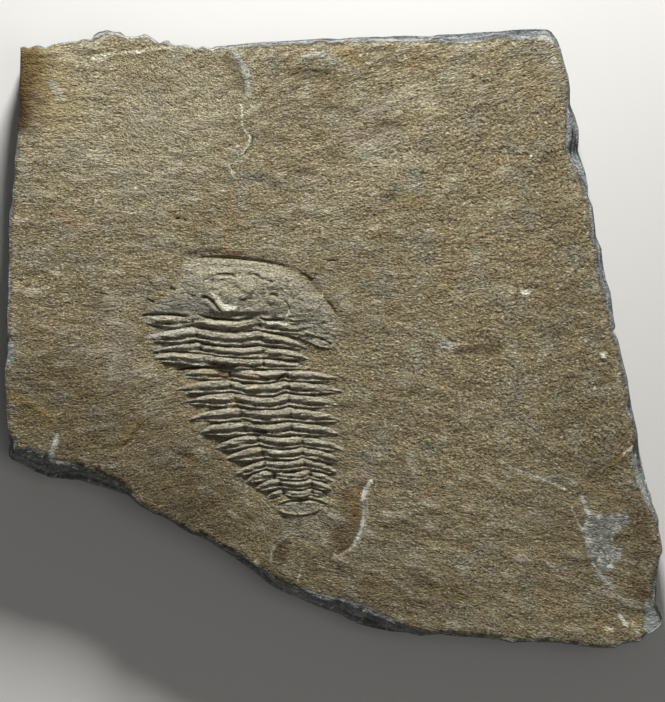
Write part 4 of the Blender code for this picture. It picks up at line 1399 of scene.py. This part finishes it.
# %% Colours of the stone
STONE_HEX = {
    "olive skin": "#938562",
    "taupe skin": "#8b7e5f",
    "ochre skin": "#8d7550",
    "grey skin": "#928e7b",
    "fossil": "#a59c7e",
    "fossil grey": "#989483",
    # worn crest colour: partly wear, partly painted highlight
    "worn crest and painted highlight": "#bdb69d",
    # grain crest and grain pit colours: paler grain and dirt, and also painted highlight and painted
    # shade
    "grain crest and painted highlight": "#b5b099",
    "grain pit and painted shade": "#594827",
    "fleck": "#cac4ab",
    "pore": "#4e3d1f",
    "fresh break": "#a3a7a6",
    "dark lamina": "#656765",
    # soil colour, used also as painted shade in furrows and hollows
    "soil_and_painted_shade": "#322811",
}
STONE = {name: linear(code) for name, code in STONE_HEX.items()}
print("stone colours:", len(STONE))

# %% The grain's coordinates: millimetres, turned along the ripples and bent
TURN = (0.26, -0.28)
BEND_SCALE = 0.4
BEND_REACH = (0.9, 0.7, 0.3)


def grain_coordinates(tree):
    """Object place in millimetres, and the same place turned and bent for the grain."""
    place = add_node(tree, "ShaderNodeTexCoord").outputs["Object"]
    mm = add_node(tree, "ShaderNodeVectorMath", {0: place, "Scale": 1000.0}, operation="SCALE")
    split = add_node(tree, "ShaderNodeSeparateXYZ", {0: mm})
    tilt = add_node(tree, "ShaderNodeMapRange", {
        "Value": split.outputs["Y"], "From Min": -18.0, "From Max": 36.0,
        "To Min": TURN[0], "To Max": TURN[1]})
    amount = add_node(tree, "ShaderNodeMapRange", {
        "Value": split.outputs["X"], "From Min": -32.0, "From Max": -8.0})
    angle = add_node(tree, "ShaderNodeMath", {0: tilt, 1: amount}, operation="MULTIPLY")
    turned = add_node(tree, "ShaderNodeVectorRotate", {"Vector": mm, "Angle": angle},
                      rotation_type="Z_AXIS")
    bend = add_node(tree, "ShaderNodeTexNoise", {
        "Vector": mm, "Scale": BEND_SCALE, "Detail": 2.0, "Roughness": 0.6})
    centred = add_node(tree, "ShaderNodeVectorMath",
                       {0: bend.outputs["Color"], 1: (0.5, 0.5, 0.5)}, operation="SUBTRACT")
    shift = add_node(tree, "ShaderNodeVectorMath", {0: centred, 1: BEND_REACH},
                     operation="MULTIPLY")
    bent = add_node(tree, "ShaderNodeVectorMath", {0: turned, 1: shift}, operation="ADD")
    return mm, bent


print("the grain turns by, degrees:", [round(math.degrees(turn), 1) for turn in TURN])

# %% Noises: bent or not, kind, stretch along the axes, waves in a millimetre, detail, roughness
NOISES = {
    "grain": (True, "FBM", (0.7, 1.0, 1.8), 3.4, 1.8, 0.9),
    "crepe": (True, "FBM", (0.5, 1.0, 1.0), 0.55, 2.0, 0.5),
    "crinkle": (True, "RIDGED_MULTIFRACTAL", (0.45, 1.0, 1.0), 1.25, 2.0, 0.6),
    "tint": (True, "FBM", (0.5, 1.0, 1.5), 4.8, 1.0, 0.7),
    "patch": (False, "FBM", (0.8, 1.2, 1.0), 0.09, 3.0, 0.6),
    "blotch": (False, "FBM", (1.0, 1.0, 1.0), 0.2, 2.0, 0.6),
    "layers": (False, "FBM", (0.12, 0.12, 2.2), 1.0, 3.0, 0.6),
}


def shale_noises(tree, mm, bent):
    """Every noise of the table, by its name."""
    made = {}
    for name, (is_bent, kind, stretch, scale, detail, roughness) in NOISES.items():
        drawn = add_node(tree, "ShaderNodeVectorMath", {0: bent if is_bent else mm, 1: stretch},
                         operation="MULTIPLY")
        inputs = {"Vector": drawn, "Scale": scale, "Detail": detail, "Roughness": roughness}
        if kind == "RIDGED_MULTIFRACTAL":
            inputs["Offset"] = 1.0
        made[name] = add_node(tree, "ShaderNodeTexNoise", inputs, noise_type=kind)
    return made


print("noises:", len(NOISES))

# %% What drives the coats: noises, attributes and two sums
LAYERS = ("fossil", "fresh", "soil_and_painted_shade", "hollow")
BREAK_BY_BLOTCH = 0.8


def coat_drivers(tree):
    """Every value that a coat, a bump or an edge depends on, by its name."""
    mm, bent = grain_coordinates(tree)
    drivers = shale_noises(tree, mm, bent)
    for name in LAYERS:
        drivers[name] = add_node(tree, "ShaderNodeAttribute", attribute_name=name).outputs["Fac"]
    drivers["grey"] = add_node(tree, "ShaderNodeMath", {
        0: drivers["fossil"], 1: drivers["blotch"]}, operation="ADD")
    drivers["broken"] = add_node(tree, "ShaderNodeMath", {
        0: drivers["blotch"], 1: BREAK_BY_BLOTCH, 2: drivers["fresh"]},
        operation="MULTIPLY_ADD")
    return drivers


print("attributes that the stone reads:", LAYERS)

# %% Coats of colour: stone, what drives it, from, to, most cover
COATS = [
    ("taupe skin", "patch", 0.38, 0.62, 1.0),
    ("ochre skin", "blotch", 0.5, 0.7, 0.42),
    ("grey skin", "blotch", 0.5, 0.32, 0.6),
    ("fossil", "fossil", 0.0, 1.0, 0.8),
    ("fossil grey", "grey", 0.9, 1.6, 0.8),
    # pits of the bumped grain darker and its crests paler: dirt and paler grain, and painted shade
    # and painted highlight
    ("grain pit and painted shade", "grain", 0.5, 0.3, 0.6),
    ("grain crest and painted highlight", "grain", 0.5, 0.68, 0.6),
    ("pore", "tint", 0.42, 0.3, 0.55),
    ("fleck", "tint", 0.6, 0.74, 0.5),
    # crinkle grooves darker: dirt and painted shade
    ("grain pit and painted shade", "crinkle", 1.3, 1.75, 0.3),
    # wear and painted highlight on raised crests
    ("worn crest and painted highlight", "hollow", -0.015, -0.07, 0.6),
    # soil and painted shade in hollows and along the drawn furrows
    ("soil_and_painted_shade", "hollow", 0.015, 0.11, 0.55),
    ("soil_and_painted_shade", "soil_and_painted_shade", 0.0, 1.0, 0.75),
    ("fresh break", "broken", 0.75, 1.1, 1.0),
]


def coated_stone(tree, drivers):
    """Olive skin under all coats, and the dark laminae of a fresh break over them."""
    stone = STONE["olive skin"]
    for name, driver, low, high, most in COATS:
        cover = add_node(tree, "ShaderNodeMapRange", {
            "Value": drivers[driver], "From Min": low, "From Max": high, "To Min": 0.0,
            "To Max": most}, interpolation_type="SMOOTHSTEP")
        stone = add_node(tree, "ShaderNodeMix", {0: cover, 6: stone, 7: STONE[name]},
                         data_type="RGBA").outputs[2]
    line = add_node(tree, "ShaderNodeMapRange", {
        "Value": drivers["layers"], "From Min": 0.35, "From Max": 0.65},
        interpolation_type="SMOOTHSTEP")
    in_side = add_node(tree, "ShaderNodeMath", {0: line, 1: drivers["fresh"]},
                       operation="MULTIPLY")
    return add_node(tree, "ShaderNodeMix", {0: in_side, 6: stone, 7: STONE["dark lamina"]},
                    data_type="RGBA").outputs[2]


print("coats:", len(COATS))

# %% Painted marks with ragged edges, and the shade of single grains
RAGGED_BY_GRAIN = 1.8
RAGGED_EDGE = (0.9, 1.6)
GRAIN_SHADE = (0.52, 1.48)


def marked_stone(tree, drivers, stone):
    """The painted marks over the stone. The grain makes their edges ragged."""
    marks = add_node(tree, "ShaderNodeAttribute", attribute_name="marks")
    ragged = add_node(tree, "ShaderNodeMath", {
        0: drivers["grain"], 1: RAGGED_BY_GRAIN, 2: marks.outputs["Alpha"]},
        operation="MULTIPLY_ADD")
    edge = add_node(tree, "ShaderNodeMapRange", {
        "Value": ragged, "From Min": RAGGED_EDGE[0], "From Max": RAGGED_EDGE[1]},
        interpolation_type="SMOOTHSTEP")
    inside = add_node(tree, "ShaderNodeMapRange", {
        "Value": marks.outputs["Alpha"], "From Min": 0.0, "From Max": 0.15})
    cover = add_node(tree, "ShaderNodeMath", {0: edge, 1: inside}, operation="MULTIPLY")
    return add_node(tree, "ShaderNodeMix", {0: cover, 6: stone, 7: marks.outputs["Color"]},
                    data_type="RGBA").outputs[2]


def shaded_grains(tree, drivers, stone):
    """Darker and lighter single grains."""
    shade = add_node(tree, "ShaderNodeMapRange", {
        "Value": drivers["tint"], "From Min": 0.25, "From Max": 0.75,
        "To Min": GRAIN_SHADE[0], "To Max": GRAIN_SHADE[1]})
    tone = add_node(tree, "ShaderNodeCombineColor", {0: shade, 1: shade, 2: shade})
    return add_node(tree, "ShaderNodeMix", {0: 1.0, 6: stone, 7: tone}, data_type="RGBA",
                    blend_type="MULTIPLY").outputs[2]


print("shade of the grains:", GRAIN_SHADE)

# %% Relief of the grain
GRAIN_BUMP = 0.34 * MM
CREPE_SHARE = 1.6
CRINKLE_SHARE = -0.17
FOSSIL_SHARE = -0.15


def grain_relief(tree, drivers):
    """Grain, crepe and crinkles as one bump, which is a little weaker on the fossil."""
    waves = add_node(tree, "ShaderNodeMath", {
        0: drivers["crepe"], 1: CREPE_SHARE, 2: drivers["grain"]}, operation="MULTIPLY_ADD")
    relief = add_node(tree, "ShaderNodeMath", {
        0: drivers["crinkle"], 1: CRINKLE_SHARE, 2: waves}, operation="MULTIPLY_ADD")
    strength = add_node(tree, "ShaderNodeMath", {
        0: drivers["fossil"], 1: FOSSIL_SHARE, 2: 1.0}, operation="MULTIPLY_ADD")
    return add_node(tree, "ShaderNodeBump", {
        "Strength": strength, "Distance": GRAIN_BUMP, "Height": relief})


print("height of the bump, mm:", round(GRAIN_BUMP / MM, 2))

# %% The material
def weather_shale(material):
    """Builds the shale's node tree."""
    material.use_nodes = True
    tree = material.node_tree
    tree.nodes.clear()
    drivers = coat_drivers(tree)
    stone = coated_stone(tree, drivers)
    stone = marked_stone(tree, drivers, stone)
    stone = shaded_grains(tree, drivers, stone)
    surface = add_node(tree, "ShaderNodeBsdfPrincipled", {
        "Base Color": stone, "Normal": grain_relief(tree, drivers), "Roughness": 0.82,
        "IOR": 1.55, "Specular IOR Level": 0.3})
    add_node(tree, "ShaderNodeOutputMaterial", {"Surface": surface})


weather_shale(shale)
mesh.materials.append(shale)
print("nodes in the shale:", len(shale.node_tree.nodes))

# %% [markdown]
# ## Floor and light
# A plain pale floor lies under the slab: uncoated paper, which scatters light evenly and doesn't
# shine. Relief this low shows only when light grazes it, so one soft lamp stands low beyond the head
# end, and that end is brighter because it is nearer. A weak lamp overhead and a pale surrounding
# keep the shadows open.

# %% Floor
FLOOR_SIZE = 14.0

floor_mesh = bpy.data.meshes.new("floor")
half = FLOOR_SIZE / 2
floor_corners = [(-half, -half, 0.0), (half, -half, 0.0), (half, half, 0.0), (-half, half, 0.0)]
floor_mesh.from_pydata(floor_corners, [], [(0, 1, 2, 3)])
floor = bpy.data.objects.new("floor", floor_mesh)
bpy.context.scene.collection.objects.link(floor)
paper = bpy.data.materials.new("matt studio paper")
paper.use_nodes = True
paper_surface = paper.node_tree.nodes["Principled BSDF"].inputs
paper_surface["Base Color"].default_value = linear("#e9e7e2")
paper_surface["Roughness"].default_value = 0.9
floor_mesh.materials.append(paper)
print("floor, m:", FLOOR_SIZE)

# %% Lamps: name, place in metres, size in metres, watts
LAMPS = [
    ("low softbox", (0.01, 0.29, 0.12), 0.05, 1.65),
    ("overhead softbox", (0.25, -0.1, 0.8), 0.5, 0.6),
]
SKY = 0.075


def add_lamp(name, where, size, watts):
    """A square soft lamp that faces the middle of the slab."""
    data = bpy.data.lights.new(name, "AREA")
    data.size = size
    data.energy = watts
    lamp = bpy.data.objects.new(name, data)
    lamp.location = where
    lamp.rotation_euler = Vector(where).to_track_quat("Z", "Y").to_euler()
    lamp.visible_camera = False
    bpy.context.scene.collection.objects.link(lamp)


for settings in LAMPS:
    add_lamp(*settings)
world = bpy.data.worlds.new("studio")
world.use_nodes = True
world.node_tree.nodes["Background"].inputs["Color"].default_value = (1.0, 1.0, 1.0, 1.0)
world.node_tree.nodes["Background"].inputs["Strength"].default_value = SKY
bpy.context.scene.world = world
print("lamps:", len(LAMPS))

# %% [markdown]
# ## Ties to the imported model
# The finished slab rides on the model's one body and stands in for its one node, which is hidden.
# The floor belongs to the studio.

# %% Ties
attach(slab, "root")
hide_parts("fossil_slab")
bpy.context.view_layer.update()
